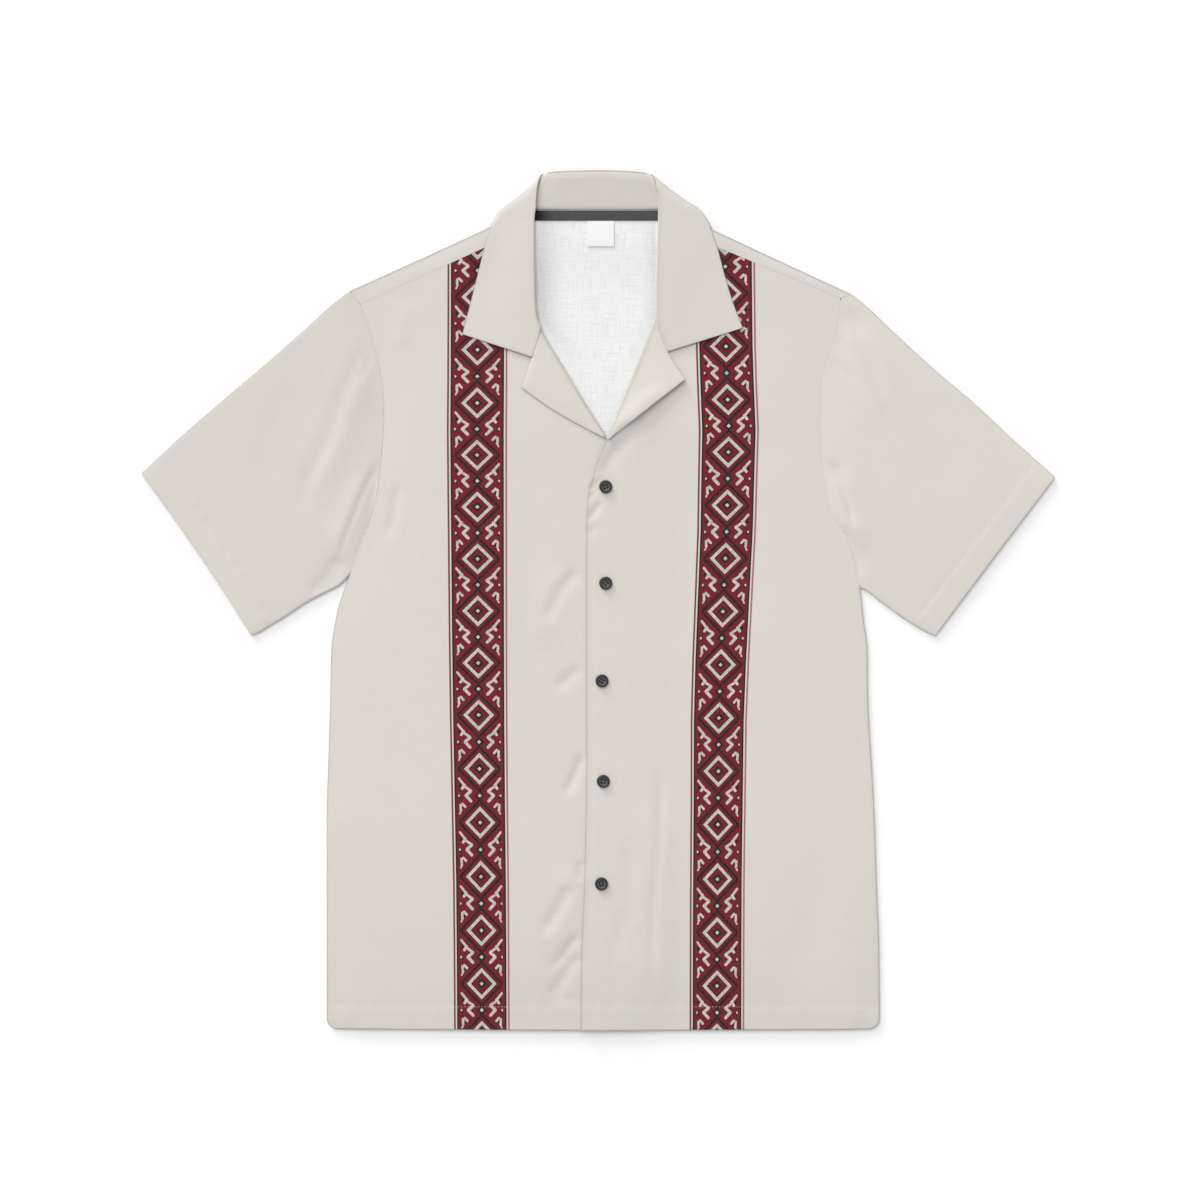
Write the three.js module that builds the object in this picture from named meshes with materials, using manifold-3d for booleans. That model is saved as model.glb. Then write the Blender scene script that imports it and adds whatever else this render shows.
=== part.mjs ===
// A short-sleeved camp shirt laid flat on its back, front up, buttoned.
// Millimetres; +X is the wearer's left, +Y runs to the collar, +Z points out of the front.
import * as THREE from "three";
import Module from "manifold-3d";

const wasm = await Module();
wasm.setup();

// Cloth and the space between its layers
const CLOTH = 1.2;
const SEAM_GAP = 0.3;
const LAYER = CLOTH + SEAM_GAP;
const LAP_LAYER = CLOTH + 0.5;
const SLEEVE_GAP = 0.4;
const ARMPIT_GAP = 1.6;
const BUTTON_GAP = 0.4;
const SHOULDER_SEAM_GAP = 0.5;
const FLOOR_MIDDLE = CLOTH / 2;

// Ease: how far the closed body and the sleeves puff up between their edges
const BODY_PUFF = 2.2;
const SLEEVE_PUFF = 2.2;
const INNER_EASE = 0.35;
const HEM_Y = -395;
const PUFF_HEM_RUN = 70;
const PUFF_SHOULDER_Y = 150;
const PUFF_SHOULDER_RUN = 110;

// The back rides over the collar's fall near the neck
const NECK_LIFT = 1.7;
const NECK_LIFT_FROM_Y = 285;
const NECK_LIFT_TO_Y = 340;
const NECK_LIFT_HALF_WIDTH = 102;
const NECK_LIFT_SIDE_RUN = 55;

// The left front over the right front
const LAP_FULL_X = 24;
const LAP_END_X = 74;
const LAP_TOP_Y = 158;
const LAP_TOP_RUN = 80;

// Turned cloth
const SHOULDER_ROLL = LAYER / 2;
const LAPEL_ROLL = 1.25;
const LAPEL_LIFT = 0.5;
const LAPEL_LAYER = CLOTH + 0.8;

// Neck trim
const NECK_X = 62;
const NECK_SEAM_Y = 360;
const TAPE = { left: -57, right: 55, bottom: 350.2, top: 359.6, thick: 1.0 };
const LABEL = { left: -10.3, right: 14.2, bottom: 326.3, top: 349.7, thick: 1.0 };

// Buttons
const BUTTON = { radius: 6.0, rimInner: 4.3, edge: 1.5, rim: 2.4, dish: 1.7, hole: 0.75, holeAt: 1.45 };
const BUTTON_SIDES = 18;
const HOLE_SIDES = 6;

const COLORS = {
  cloth: 0xdcd7d0,
  tape: 0x3c3e3e,
  label: 0xf4f4f2,
  button: 0x161819,
};

function table(columns, rows) {
  return rows.map((row) => Object.fromEntries(columns.map((name, i) => [name, row[i]])));
}

// Body sections from the hem to the forward shoulder seam.
// r is the wearer's right, l the wearer's left; side is the seam or armhole, edge the front opening;
// neckY is where the same section of the back crosses the neck points.
const BODY = table(
  ["at", "rSideX", "rSideY", "rEdgeX", "rEdgeY", "lEdgeX", "lEdgeY", "lSideX", "lSideY", "neckY"],
  [
    ["hem", -240, -393.6, 20.5, -395.4, -16.1, -395.2, 247, -394, -395.2],
    ["corner", -250.2, -385, 20.5, -385, -16.1, -385, 258.6, -385, -385],
    ["skirt", -250.2, -325, 20.5, -325, -15.5, -325, 258.2, -325, -325],
    ["hip", -250.2, -260, 20.5, -260, -13, -260, 255.8, -260, -260],
    ["low", -250.2, -200, 20.5, -200, -11.8, -200, 253.9, -200, -200],
    ["waist", -248.6, -145, 20.5, -145, -11, -145, 250.9, -145, -145],
    ["rib", -247, -91, 20.5, -91, -11.2, -91, 247.9, -91, -91],
    ["chest", -245.9, -45, 20.5, -45, -11.4, -45, 247.3, -45, -45],
    ["under", -241.5, -14.4, 20.5, -15, -11.5, -15, 243.8, -17, -12],
    ["armpit", -228.2, 27, 20.5, 20, -11.2, 20, 240.6, 12.4, 24],
    ["arm1", -216.9, 57, 20.5, 55, -10.9, 55, 231.7, 50, 57],
    ["arm2", -205.8, 90.4, 20.5, 90, -9.8, 92, 213.5, 86, 92],
    ["arm3", -201.5, 120, 17.5, 120, -4, 118, 207.5, 118, 126],
    ["break", -198.7, 148.4, 7, 150.5, 8.3, 149, 204.8, 150, 157],
    ["roll1", -197.8, 172, -7.8, 174.9, 19.3, 177.5, 203.8, 172, 187],
    ["roll2", -198.5, 195, -22.7, 199.9, 30.3, 205, 204.5, 195, 217],
    ["roll3", -201.5, 214, -37.5, 224.8, 41.3, 232.4, 207.5, 212, 245],
    ["gorge", -206, 233, -52.3, 249.7, 52.3, 259.9, 213, 232, 273],
    ["neck1", -211, 251, -64, 278, 63, 285, 218.5, 248, 300],
    ["neck2", -215, 262, -72, 310, 71, 313, 220.8, 263, 325],
    ["seam", -219.2, 273.3, -70, 341, 70, 342, 222.7, 278.9, 346],
  ],
);
const BREAK_ROW = BODY.findIndex((row) => row.at === "break");
const GORGE_ROW = BODY.findIndex((row) => row.at === "gorge");

// Shoulder fold of the back, where it turns over to the forward seam
const SHOULDER_FOLD = {
  right: { outer: [-229.3, 285.6], neck: [-NECK_X, 361.4] },
  left: { outer: [233.9, 282.3], neck: [NECK_X, 362] },
};

// Free edge of each lapel, one row per roll section from the break to the notch
const LAPEL_EDGES = {
  right: table(["x", "y"], [[-4, 155], [-22, 164.2], [-46, 178.2], [-70.7, 196.1], [-61.4, 223.4]]),
  left: table(["x", "y"], [[18, 155.6], [33, 167], [55, 184.5], [81.1, 203.4], [63.4, 227.4]]),
};

// Collar stations from the notch round to the centre back, one table for each half.
// seam is the neck seam, roll the outer line of the turn, edge the free edge.
// fall is 1 where the fall lies on top, -1 where it lies underneath and 0 where it turns over the shoulder;
// a station with no radius has no stand. An edgeZ of 0 rests on the front; bow follows the round shoulder.
const COLLAR_COLUMNS = [
  "at", "seamX", "seamY", "rollX", "rollY", "rollZ", "radius", "fall", "edgeX", "edgeY", "edgeZ", "bow",
];
const COLLAR_RIGHT = table(COLLAR_COLUMNS, [
  ["notch", 0, 0, -62.6, 227.6, 0, 0, 1, -125.2, 245.5, 0, 0],
  ["gorge", -59.6, 270.5, -56.9, 264, 5.4, 1.3, 1, -117.6, 275, 0, 0],
  ["front", -67.3, 294, -58.1, 290.7, 5.8, 1.4, 1, -111.8, 298, 0, 0],
  ["side", -70.7, 320, -58.5, 321, 5.9, 1.4, 1, -104.7, 325.7, 0, 0],
  ["shoulder", -68.5, 343, -60.2, 345, 5.7, 1.3, 1, -101.4, 336, 0, 0],
  ["neck", -64.1, 351.2, -60.1, 351.4, 5.6, 1.2, 1, -99.8, 340.5, 0, 0.2],
  ["turn1", 0, 0, -58.8, 366, 6.9, 0, 1, -98.4, 343, 0, 0.5],
  ["turn2", 0, 0, -56, 382, 7.0, 0, 0, -98.2, 344.6, 4.9, 0.8],
  ["turn3", 0, 0, -53.4, 390.2, 5.9, 0, 0, -98.6, 345.4, 4.2, 1],
  ["turn4", 0, 0, -52, 392.7, 3.9, 0, 0, -98.8, 346, 2.9, 1],
  ["turn5", 0, 0, -50.4, 392.9, 2.4, 0, 0, -98.4, 346.3, 1.6, 1],
  ["back1", -56.4, 361, -47.6, 394.5, 3.7, 2.0, -1, -94, 346.4, 0.6, 0.8],
  ["back2", -42, 360.6, -36, 395.6, 4.2, 2.3, -1, -74, 347.2, 0.6, 0],
  ["back3", -22, 360.4, -18, 396.3, 4.2, 2.4, -1, -38, 347.6, 0.6, 0],
  ["centre", 0, 360.4, 0, 396.6, 4.2, 2.4, -1, 0, 347.6, 0.6, 0],
]);
const COLLAR_LEFT = table(COLLAR_COLUMNS, [
  ["notch", 0, 0, 64.8, 232.4, 0, 0, 1, 132.8, 251.3, 0, 0],
  ["gorge", 57.6, 276, 52.6, 271, 5.4, 1.3, 1, 124.4, 273, 0, 0],
  ["front", 66, 298, 52.8, 295, 5.8, 1.4, 1, 116.4, 299, 0, 0],
  ["side", 70, 320, 53.6, 321, 5.9, 1.4, 1, 109.2, 325.7, 0, 0],
  ["shoulder", 68.7, 343.6, 54.4, 345, 5.8, 1.4, 1, 105.6, 336, 0, 0],
  ["neck", 64, 352.2, 54.6, 357, 5.8, 1.4, 1, 104.2, 340.5, 0, 0.2],
  ["turn1", 61, 358, 54.6, 370, 5.9, 1.4, 1, 102.6, 343, 0, 0.5],
  ["turn2", 0, 0, 52.8, 383.2, 7.0, 0, 0, 102.6, 344.2, 4.9, 0.8],
  ["turn3", 0, 0, 50.6, 389.8, 5.9, 0, 0, 103, 345, 4.2, 1],
  ["turn4", 0, 0, 49, 392.4, 3.9, 0, 0, 103.4, 345.4, 2.9, 1],
  ["turn5", 0, 0, 47.4, 392.6, 2.4, 0, 0, 102.8, 345.8, 1.6, 1],
  ["back1", 56.4, 361, 44.6, 394.2, 3.7, 2.0, -1, 97, 346.2, 0.6, 0.8],
  ["back2", 42, 360.6, 34, 395.4, 4.2, 2.3, -1, 76, 347.2, 0.6, 0],
  ["back3", 22, 360.4, 17, 396.3, 4.2, 2.4, -1, 40, 347.6, 0.6, 0],
]);
// How far the turn over each shoulder bows out, at the quarters from the roll to the free edge
const SHOULDER_BOW = { right: [0, -1, 0.7, 3.2, 0], left: [0, 0.4, 1.8, 4.2, 0] };

// Sleeve outlines, one row per section from the armhole to the cuff.
// top is the fold along the upper arm, under the underarm fold; the first row is the armhole's own.
const SLEEVE_COLUMNS = ["topX", "topY", "underX", "underY", "ease"];
const RIGHT_SLEEVE = table(SLEEVE_COLUMNS, [
  [-229.3, 285.6, -228.2, 27, 0.1],
  [-246, 272.4, -238, 14.9, 0.7],
  [-268.3, 252.1, -252, 7.5, 1],
  [-306.2, 218.7, -270, -2.2, 1],
  [-341.9, 188.6, -288.3, -14.4, 1],
  [-380, 155.6, -303.5, -23.4, 1],
  [-404, 133.4, -313, -29.2, 0.95],
  [-421, 117.7, -319.5, -31.7, 0.85],
]);
const LEFT_SLEEVE = table(SLEEVE_COLUMNS, [
  [233.9, 282.3, 240.6, 12.4, 0.1],
  [249.5, 269.2, 248.5, 8.1, 0.7],
  [267.3, 252.1, 257, 1.5, 1],
  [309.7, 213.1, 267.6, -6.4, 1],
  [345, 183.2, 278.5, -14.4, 1],
  [379, 151.4, 291, -22.4, 0.95],
  [401.1, 131.6, 301.5, -28.4, 0.9],
  [420.5, 114.4, 309.7, -32.2, 0.85],
]);
// How far the cuff line bows out at its middle
const RIGHT_CUFF_BOW = 3.4;
const LEFT_CUFF_BOW = 0.8;

// Soft folds of the upper layers: from one end to the other, half width and height
const FOLDS = table(
  ["x1", "y1", "x2", "y2", "halfWidth", "height"],
  [
    [-216, 236, -262, 96, 17, 2.2],
    [-212, 118, -240, 40, 13, 1.6],
    [236, 262, 270, 166, 17, 2.2],
    [222, 122, 240, 48, 13, 1.5],
    [58, -160, 52, -372, 17, 1.4],
    [-32, 30, -56, -40, 14, 1.0],
    [-26, -246, -44, -322, 14, 1.0],
  ],
);

const BUTTONS = table(
  ["name", "x", "y"],
  [
    ["button_1", 6.6, 105.1],
    ["button_2", 6.6, 16.5],
    ["button_3", 3.2, -73.4],
    ["button_4", 4.4, -165.7],
    ["button_5", 2.7, -259.9],
  ],
);

function smooth(value, from, to) {
  return THREE.MathUtils.smoothstep(value, Math.min(from, to), Math.max(from, to));
}

function lerp(a, b, share) {
  return a + (b - a) * share;
}

// Linear reading of a table column at a value of another column.
function read(rows, by, value, column) {
  const last = rows.length - 1;
  const after = rows.findIndex((row) => row[by] >= value);
  const high = after < 0 ? last : Math.max(after, 1);
  const a = rows[high - 1];
  const b = rows[high];
  const share = THREE.MathUtils.clamp((value - a[by]) / (b[by] - a[by]), 0, 1);
  return lerp(a[column], b[column], share);
}

// Height of the surfaces, given at their middle
function neckLift(x, y) {
  const along = smooth(y, NECK_LIFT_FROM_Y, NECK_LIFT_TO_Y);
  const across = 1 - smooth(Math.abs(x), NECK_LIFT_HALF_WIDTH, NECK_LIFT_HALF_WIDTH + NECK_LIFT_SIDE_RUN);
  return NECK_LIFT * along * across;
}

function backMiddle(x, y) {
  return FLOOR_MIDDLE + neckLift(x, y);
}

function bodyPuff(x, y) {
  const left = read(BODY, "rSideY", y, "rSideX");
  const right = read(BODY, "lSideY", y, "lSideX");
  const across = 2 * ((x - left) / (right - left)) - 1;
  const along = smooth(y, HEM_Y, HEM_Y + PUFF_HEM_RUN);
  const top = 1 - smooth(y, PUFF_SHOULDER_Y, PUFF_SHOULDER_Y + PUFF_SHOULDER_RUN);
  return BODY_PUFF * Math.max(0, 1 - across ** 4) * along * top;
}

function foldHeight(x, y) {
  let sum = 0;
  for (const fold of FOLDS) {
    const run = new THREE.Vector2(fold.x2 - fold.x1, fold.y2 - fold.y1);
    const from = new THREE.Vector2(x - fold.x1, y - fold.y1);
    const share = from.dot(run) / run.lengthSq();
    const off = Math.abs(from.cross(run)) / run.length();
    const ends = smooth(share, -0.1, 0.25) * (1 - smooth(share, 0.75, 1.1));
    sum += fold.height * ends * Math.exp(-((off / fold.halfWidth) ** 2));
  }
  return sum;
}

// Folds fade out where a front meets its seams.
function seamFade(x, y) {
  const left = read(BODY, "rSideY", y, "rSideX");
  const right = read(BODY, "lSideY", y, "lSideX");
  return smooth(Math.min(x - left, right - x), 0, 30) * smooth(y, HEM_Y, HEM_Y + 30);
}

function frontMiddle(x, y) {
  const fade = seamFade(x, y);
  return backMiddle(x, y) + LAYER + bodyPuff(x, y) + (INNER_EASE + foldHeight(x, y)) * fade;
}

function lap(x, y) {
  return LAP_LAYER * (1 - smooth(x, LAP_FULL_X, LAP_END_X)) * (1 - smooth(y, LAP_TOP_Y, LAP_TOP_Y + LAP_TOP_RUN));
}

function leftFrontMiddle(x, y) {
  return frontMiddle(x, y) + lap(x, y);
}

// A wall of cloth from rows of middle points, thickened along the normals over the cells that exist.
function wall(rows, exists = () => true, closed = false) {
  const down = rows.length;
  const across = rows[0].length;
  const cells = closed ? across : across - 1;
  const has = (j, i) => {
    const k = closed ? (i + cells) % cells : i;
    return j >= 0 && j < down - 1 && k >= 0 && k < cells && exists(j, k);
  };
  const at = (j, i) => rows[j][i % across];
  const normals = rows.map((row) => row.map(() => new THREE.Vector3()));
  const used = rows.map((row) => row.map(() => false));
  for (let j = 0; j < down - 1; j++) {
    for (let i = 0; i < cells; i++) {
      if (!has(j, i)) continue;
      const corners = [[j, i], [j, i + 1], [j + 1, i + 1], [j + 1, i]];
      const diagonal = at(j + 1, i + 1).clone().sub(at(j, i));
      const normal = diagonal.cross(at(j + 1, i).clone().sub(at(j, i + 1))).normalize();
      for (const [b, a] of corners) {
        normals[b][a % across].add(normal);
        used[b][a % across] = true;
      }
    }
  }
  const positions = [];
  const index = rows.map((row) => row.map(() => -1));
  rows.forEach((row, j) =>
    row.forEach((point, i) => {
      if (!used[j][i]) return;
      index[j][i] = positions.length / 6;
      const shift = normals[j][i].normalize().multiplyScalar(CLOTH / 2);
      positions.push(...point.clone().add(shift).toArray(), ...point.clone().sub(shift).toArray());
    }),
  );
  const outer = ([j, i]) => 2 * index[j][i % across];
  const inner = ([j, i]) => outer([j, i]) + 1;
  const faces = [];
  const side = (a, b) => faces.push(outer(b), outer(a), inner(a), outer(b), inner(a), inner(b));
  for (let j = 0; j < down - 1; j++) {
    for (let i = 0; i < cells; i++) {
      if (!has(j, i)) continue;
      const [a, b, c, d] = [[j, i], [j, i + 1], [j + 1, i + 1], [j + 1, i]];
      // split each cell along its shorter diagonal
      const turned = at(...a).distanceTo(at(...c)) > at(...b).distanceTo(at(...d));
      const [p, q, r, s] = turned ? [b, c, d, a] : [a, b, c, d];
      faces.push(outer(p), outer(q), outer(r), outer(p), outer(r), outer(s));
      faces.push(inner(p), inner(r), inner(q), inner(p), inner(s), inner(r));
      if (!has(j - 1, i)) side(a, b);
      if (!has(j, i + 1)) side(b, c);
      if (!has(j + 1, i)) side(c, d);
      if (!has(j, i - 1)) side(d, a);
    }
  }
  const geometry = new THREE.BufferGeometry();
  geometry.setAttribute("position", new THREE.Float32BufferAttribute(positions, 3));
  geometry.setIndex(faces);
  return geometry;
}

const shirt = new THREE.Group();
shirt.name = "camp_shirt";

function add(name, geometry, color, roughness = 0.9) {
  geometry.computeVertexNormals();
  const mesh = new THREE.Mesh(geometry, new THREE.MeshStandardMaterial({ color, roughness }));
  mesh.name = name;
  shirt.add(mesh);
}

function point(x, y, z) {
  return new THREE.Vector3(x, y, z);
}

// Back: sections between the sides, then over each shoulder to the forward seam
const SHOULDER_STEPS = 4;
const NECK_STEPS = 4;
const TURN_ANGLES = [0, 60, 120, 180];

function spread(anchors, steps) {
  const out = [];
  anchors.slice(1).forEach(([x, y], k) => {
    const [fromX, fromY] = anchors[k];
    for (let i = k ? 1 : 0; i <= steps[k]; i++) {
      out.push([lerp(fromX, x, i / steps[k]), lerp(fromY, y, i / steps[k])]);
    }
  });
  return out;
}

// A corner of a fold, moved along its own side until it is `inset` inside the fold line.
function insetCorner(corner, towards, along, inset) {
  const step = new THREE.Vector2().subVectors(towards, corner).normalize();
  const depth = Math.max(Math.abs(step.cross(along)), 0.4);
  return corner.clone().addScaledVector(step, inset / depth);
}

function shoulderLine(side) {
  const seam = BODY.at(-1);
  const outer = new THREE.Vector2(...SHOULDER_FOLD[side].outer);
  const neck = new THREE.Vector2(...SHOULDER_FOLD[side].neck);
  const along = neck.clone().sub(outer).normalize();
  const key = side[0];
  const armholeEnd = new THREE.Vector2(seam[key + "SideX"], seam[key + "SideY"]);
  const neckEnd = new THREE.Vector2(seam[key + "EdgeX"], seam[key + "EdgeY"]);
  const inset = SHOULDER_ROLL + CLOTH / 2;
  return {
    outer: insetCorner(outer, armholeEnd, along, inset).toArray(),
    neck: insetCorner(neck, neckEnd, along, inset).toArray(),
    outward: [-Math.abs(along.y) * Math.sign(along.x), Math.abs(along.x)],
  };
}

function backPanel() {
  const steps = [SHOULDER_STEPS, NECK_STEPS, SHOULDER_STEPS];
  const lay = (plan, height) => plan.map(([x, y]) => point(x, y, height(x, y)));
  const rows = BODY.map((row) =>
    lay(
      spread([[row.rSideX, row.rSideY], [-NECK_X, row.neckY], [NECK_X, row.neckY], [row.lSideX, row.lSideY]], steps),
      backMiddle,
    ),
  );
  const seam = BODY.at(-1);
  const right = shoulderLine("right");
  const left = shoulderLine("left");
  const foldPlan = spread([right.outer, right.neck, left.neck, left.outer], steps);
  const outward = foldPlan.map(([x]) => (x < 0 ? right.outward : left.outward));
  // between the neck points the panel ends at the neck seam
  const isNeck = (i) => i > SHOULDER_STEPS && i < SHOULDER_STEPS + NECK_STEPS;
  for (const degrees of TURN_ANGLES) {
    const angle = THREE.MathUtils.degToRad(degrees);
    rows.push(
      foldPlan.map(([x, y], i) => {
        const flatY = isNeck(i) ? NECK_SEAM_Y : y;
        const out = SHOULDER_ROLL * Math.sin(angle);
        const up = SHOULDER_ROLL * (1 - Math.cos(angle));
        return point(x + outward[i][0] * out, flatY + outward[i][1] * out, backMiddle(x, flatY) + up);
      }),
    );
  }
  const seamEdge = spread(
    [[seam.rSideX, seam.rSideY], [seam.rEdgeX, seam.rEdgeY], [seam.lEdgeX, seam.lEdgeY], [seam.lSideX, seam.lSideY]],
    steps,
  ).map(([x, y]) => [x, y + SHOULDER_SEAM_GAP]);
  for (const share of [0.5, 1]) {
    rows.push(
      seamEdge.map(([x, y], i) => {
        const [fromX, fromY] = foldPlan[i];
        const [toX, toY] = [lerp(fromX, x, share), lerp(fromY, y, share)];
        return point(toX, toY, frontMiddle(toX, toY));
      }),
    );
  }
  const flatRows = BODY.length;
  return wall(rows, (j, i) => j < flatRows || i < SHOULDER_STEPS || i >= SHOULDER_STEPS + NECK_STEPS);
}

// Front: sections from the side to the opening, then over the roll line into the lapel
const FRONT_STEPS = 9;
const LAPEL_SHARES = [0.3, 0.6, 1];

function frontPanel(side) {
  const onLeft = side === "left";
  const middle = onLeft ? leftFrontMiddle : frontMiddle;
  const key = onLeft ? "l" : "r";
  const outward = onLeft ? -1 : 1;
  const edges = LAPEL_EDGES[side];
  const rows = BODY.map((row, j) => {
    const inLapel = j >= BREAK_ROW && j <= GORGE_ROW;
    const share = (j - BREAK_ROW) / (GORGE_ROW - BREAK_ROW);
    const radius = inLapel ? LAPEL_ROLL * lerp(0.72, 1, smooth(share, 0, 0.5)) : 0;
    const before = BODY[Math.max(j - 1, BREAK_ROW)];
    const after = BODY[Math.min(j + 1, GORGE_ROW)];
    const run = new THREE.Vector2(after[key + "EdgeX"] - before[key + "EdgeX"], after[key + "EdgeY"] - before[key + "EdgeY"]);
    const turn = inLapel ? new THREE.Vector2(run.y, -run.x).normalize().multiplyScalar(outward) : new THREE.Vector2(outward, 0);
    const inset = inLapel ? radius + CLOTH / 2 : 0;
    const edgeX = row[key + "EdgeX"] - turn.x * inset;
    const edgeY = row[key + "EdgeY"] - turn.y * inset;
    const line = [];
    for (let i = 0; i <= FRONT_STEPS; i++) {
      const x = lerp(row[key + "SideX"], edgeX, i / FRONT_STEPS);
      const y = lerp(row[key + "SideY"], edgeY, i / FRONT_STEPS);
      line.push(point(x, y, middle(x, y)));
    }
    const base = middle(edgeX, edgeY);
    for (const degrees of TURN_ANGLES.slice(1)) {
      const angle = THREE.MathUtils.degToRad(degrees);
      const out = radius * Math.sin(angle);
      line.push(point(edgeX + turn.x * out, edgeY + turn.y * out, base + radius * (1 - Math.cos(angle))));
    }
    const free = edges[THREE.MathUtils.clamp(j - BREAK_ROW, 0, edges.length - 1)];
    for (const w of LAPEL_SHARES) {
      const x = lerp(edgeX, free.x, w);
      const y = lerp(edgeY, free.y, w);
      const lift = lerp(Math.max(2 * radius - LAPEL_LAYER, 0), 0, w) + LAPEL_LIFT * 4 * w * (1 - w) * share;
      line.push(point(x, y, middle(x, y) + LAPEL_LAYER + lift));
    }
    return line;
  });
  const ordered = onLeft ? rows.map((line) => line.reverse()) : rows;
  const cells = ordered[0].length - 1;
  const inPanel = (i) => (onLeft ? i >= cells - FRONT_STEPS : i < FRONT_STEPS);
  return wall(ordered, (j, i) => inPanel(i) || (j >= BREAK_ROW && j < GORGE_ROW));
}

// Collar: stations of stand, roll and fall
const STAND_STEPS = 2;
const FALL_STEPS = 4;
const ROLL_ANGLES = [-90, -30, 30, 90];
const NOTCH_LIFT = 0.8;

function collarStation(row, outward, bows) {
  const onTop = row.fall > 0;
  const facing = onTop ? point(outward, 0, 0) : point(0, 1, 0);
  const up = point(0, 0, onTop ? 1 : -1);
  const rollZ = row.rollZ || frontMiddle(row.rollX, row.rollY) + LAP_LAYER + NOTCH_LIFT;
  const centre = point(row.rollX, row.rollY, rollZ);
  if (row.radius) centre.addScaledVector(facing, -(row.radius + CLOTH / 2));
  const arc = ROLL_ANGLES.map((degrees) => {
    const angle = THREE.MathUtils.degToRad(degrees);
    return centre
      .clone()
      .addScaledVector(facing, row.radius * Math.cos(angle))
      .addScaledVector(up, row.radius * Math.sin(angle));
  });
  const seamMiddle = onTop ? frontMiddle : backMiddle;
  const seam = point(row.seamX, row.seamY, seamMiddle(row.seamX, row.seamY));
  const resting = row.edgeZ === 0;
  const edgeZ = resting ? frontMiddle(row.edgeX, row.edgeY) + LAP_LAYER : row.edgeZ;
  const edge = point(row.edgeX, row.edgeY, edgeZ);
  const line = [];
  for (let i = 0; i < STAND_STEPS; i++) line.push(seam.clone().lerp(arc[0], i / STAND_STEPS));
  line.push(...arc);
  const start = arc.at(-1);
  const bowOut = point(start.y - edge.y, edge.x - start.x, 0).normalize().multiplyScalar(outward);
  for (let i = 1; i <= FALL_STEPS; i++) {
    const w = i / FALL_STEPS;
    const along = start.clone().lerp(edge, w).addScaledVector(bowOut, -bows[i] * row.bow);
    if (resting) {
      const rest = frontMiddle(along.x, along.y) + LAP_LAYER;
      along.z = Math.max(lerp(start.z, edgeZ, smooth(w, 0, 1)), rest);
    }
    line.push(along);
  }
  return line;
}

function collarBand() {
  const right = COLLAR_RIGHT.map((row) => collarStation(row, 1, SHOULDER_BOW.right));
  const left = COLLAR_LEFT.map((row) => collarStation(row, -1, SHOULDER_BOW.left)).reverse();
  const radii = [...COLLAR_RIGHT, ...COLLAR_LEFT.toReversed()].map((row) => row.radius);
  const fallFrom = STAND_STEPS + ROLL_ANGLES.length - 1;
  return wall([...right, ...left], (j, i) => i >= fallFrom || (radii[j] > 0 && radii[j + 1] > 0));
}

// Sleeve: flattened rings from the armhole to the cuff
const SLEEVE_FOLD = SHOULDER_ROLL;
const ARMPIT_ROW = BODY.findIndex((row) => row.at === "armpit");

// The body's armhole from the shoulder fold to the armpit, moved out by the seam gap.
function armhole(side, shoulder) {
  const rows = BODY.slice(ARMPIT_ROW).reverse();
  const line = [shoulder, ...rows.map((row) => [row[side + "SideX"], row[side + "SideY"]])];
  const outward = side === "l" ? 1 : -1;
  return line.map(([x, y], i) => {
    const [ax, ay] = line[Math.max(i - 1, 0)];
    const [bx, by] = line[Math.min(i + 1, line.length - 1)];
    const gap = i === line.length - 1 ? ARMPIT_GAP : SLEEVE_GAP;
    const normal = new THREE.Vector2(ay - by, bx - ax).normalize().multiplyScalar(outward * gap);
    return new THREE.Vector2(x + normal.x, y + normal.y);
  });
}

function shares(line) {
  const sums = [0];
  line.slice(1).forEach((p, i) => sums.push(sums[i] + p.distanceTo(line[i])));
  return sums.map((sum) => sum / sums.at(-1));
}

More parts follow.
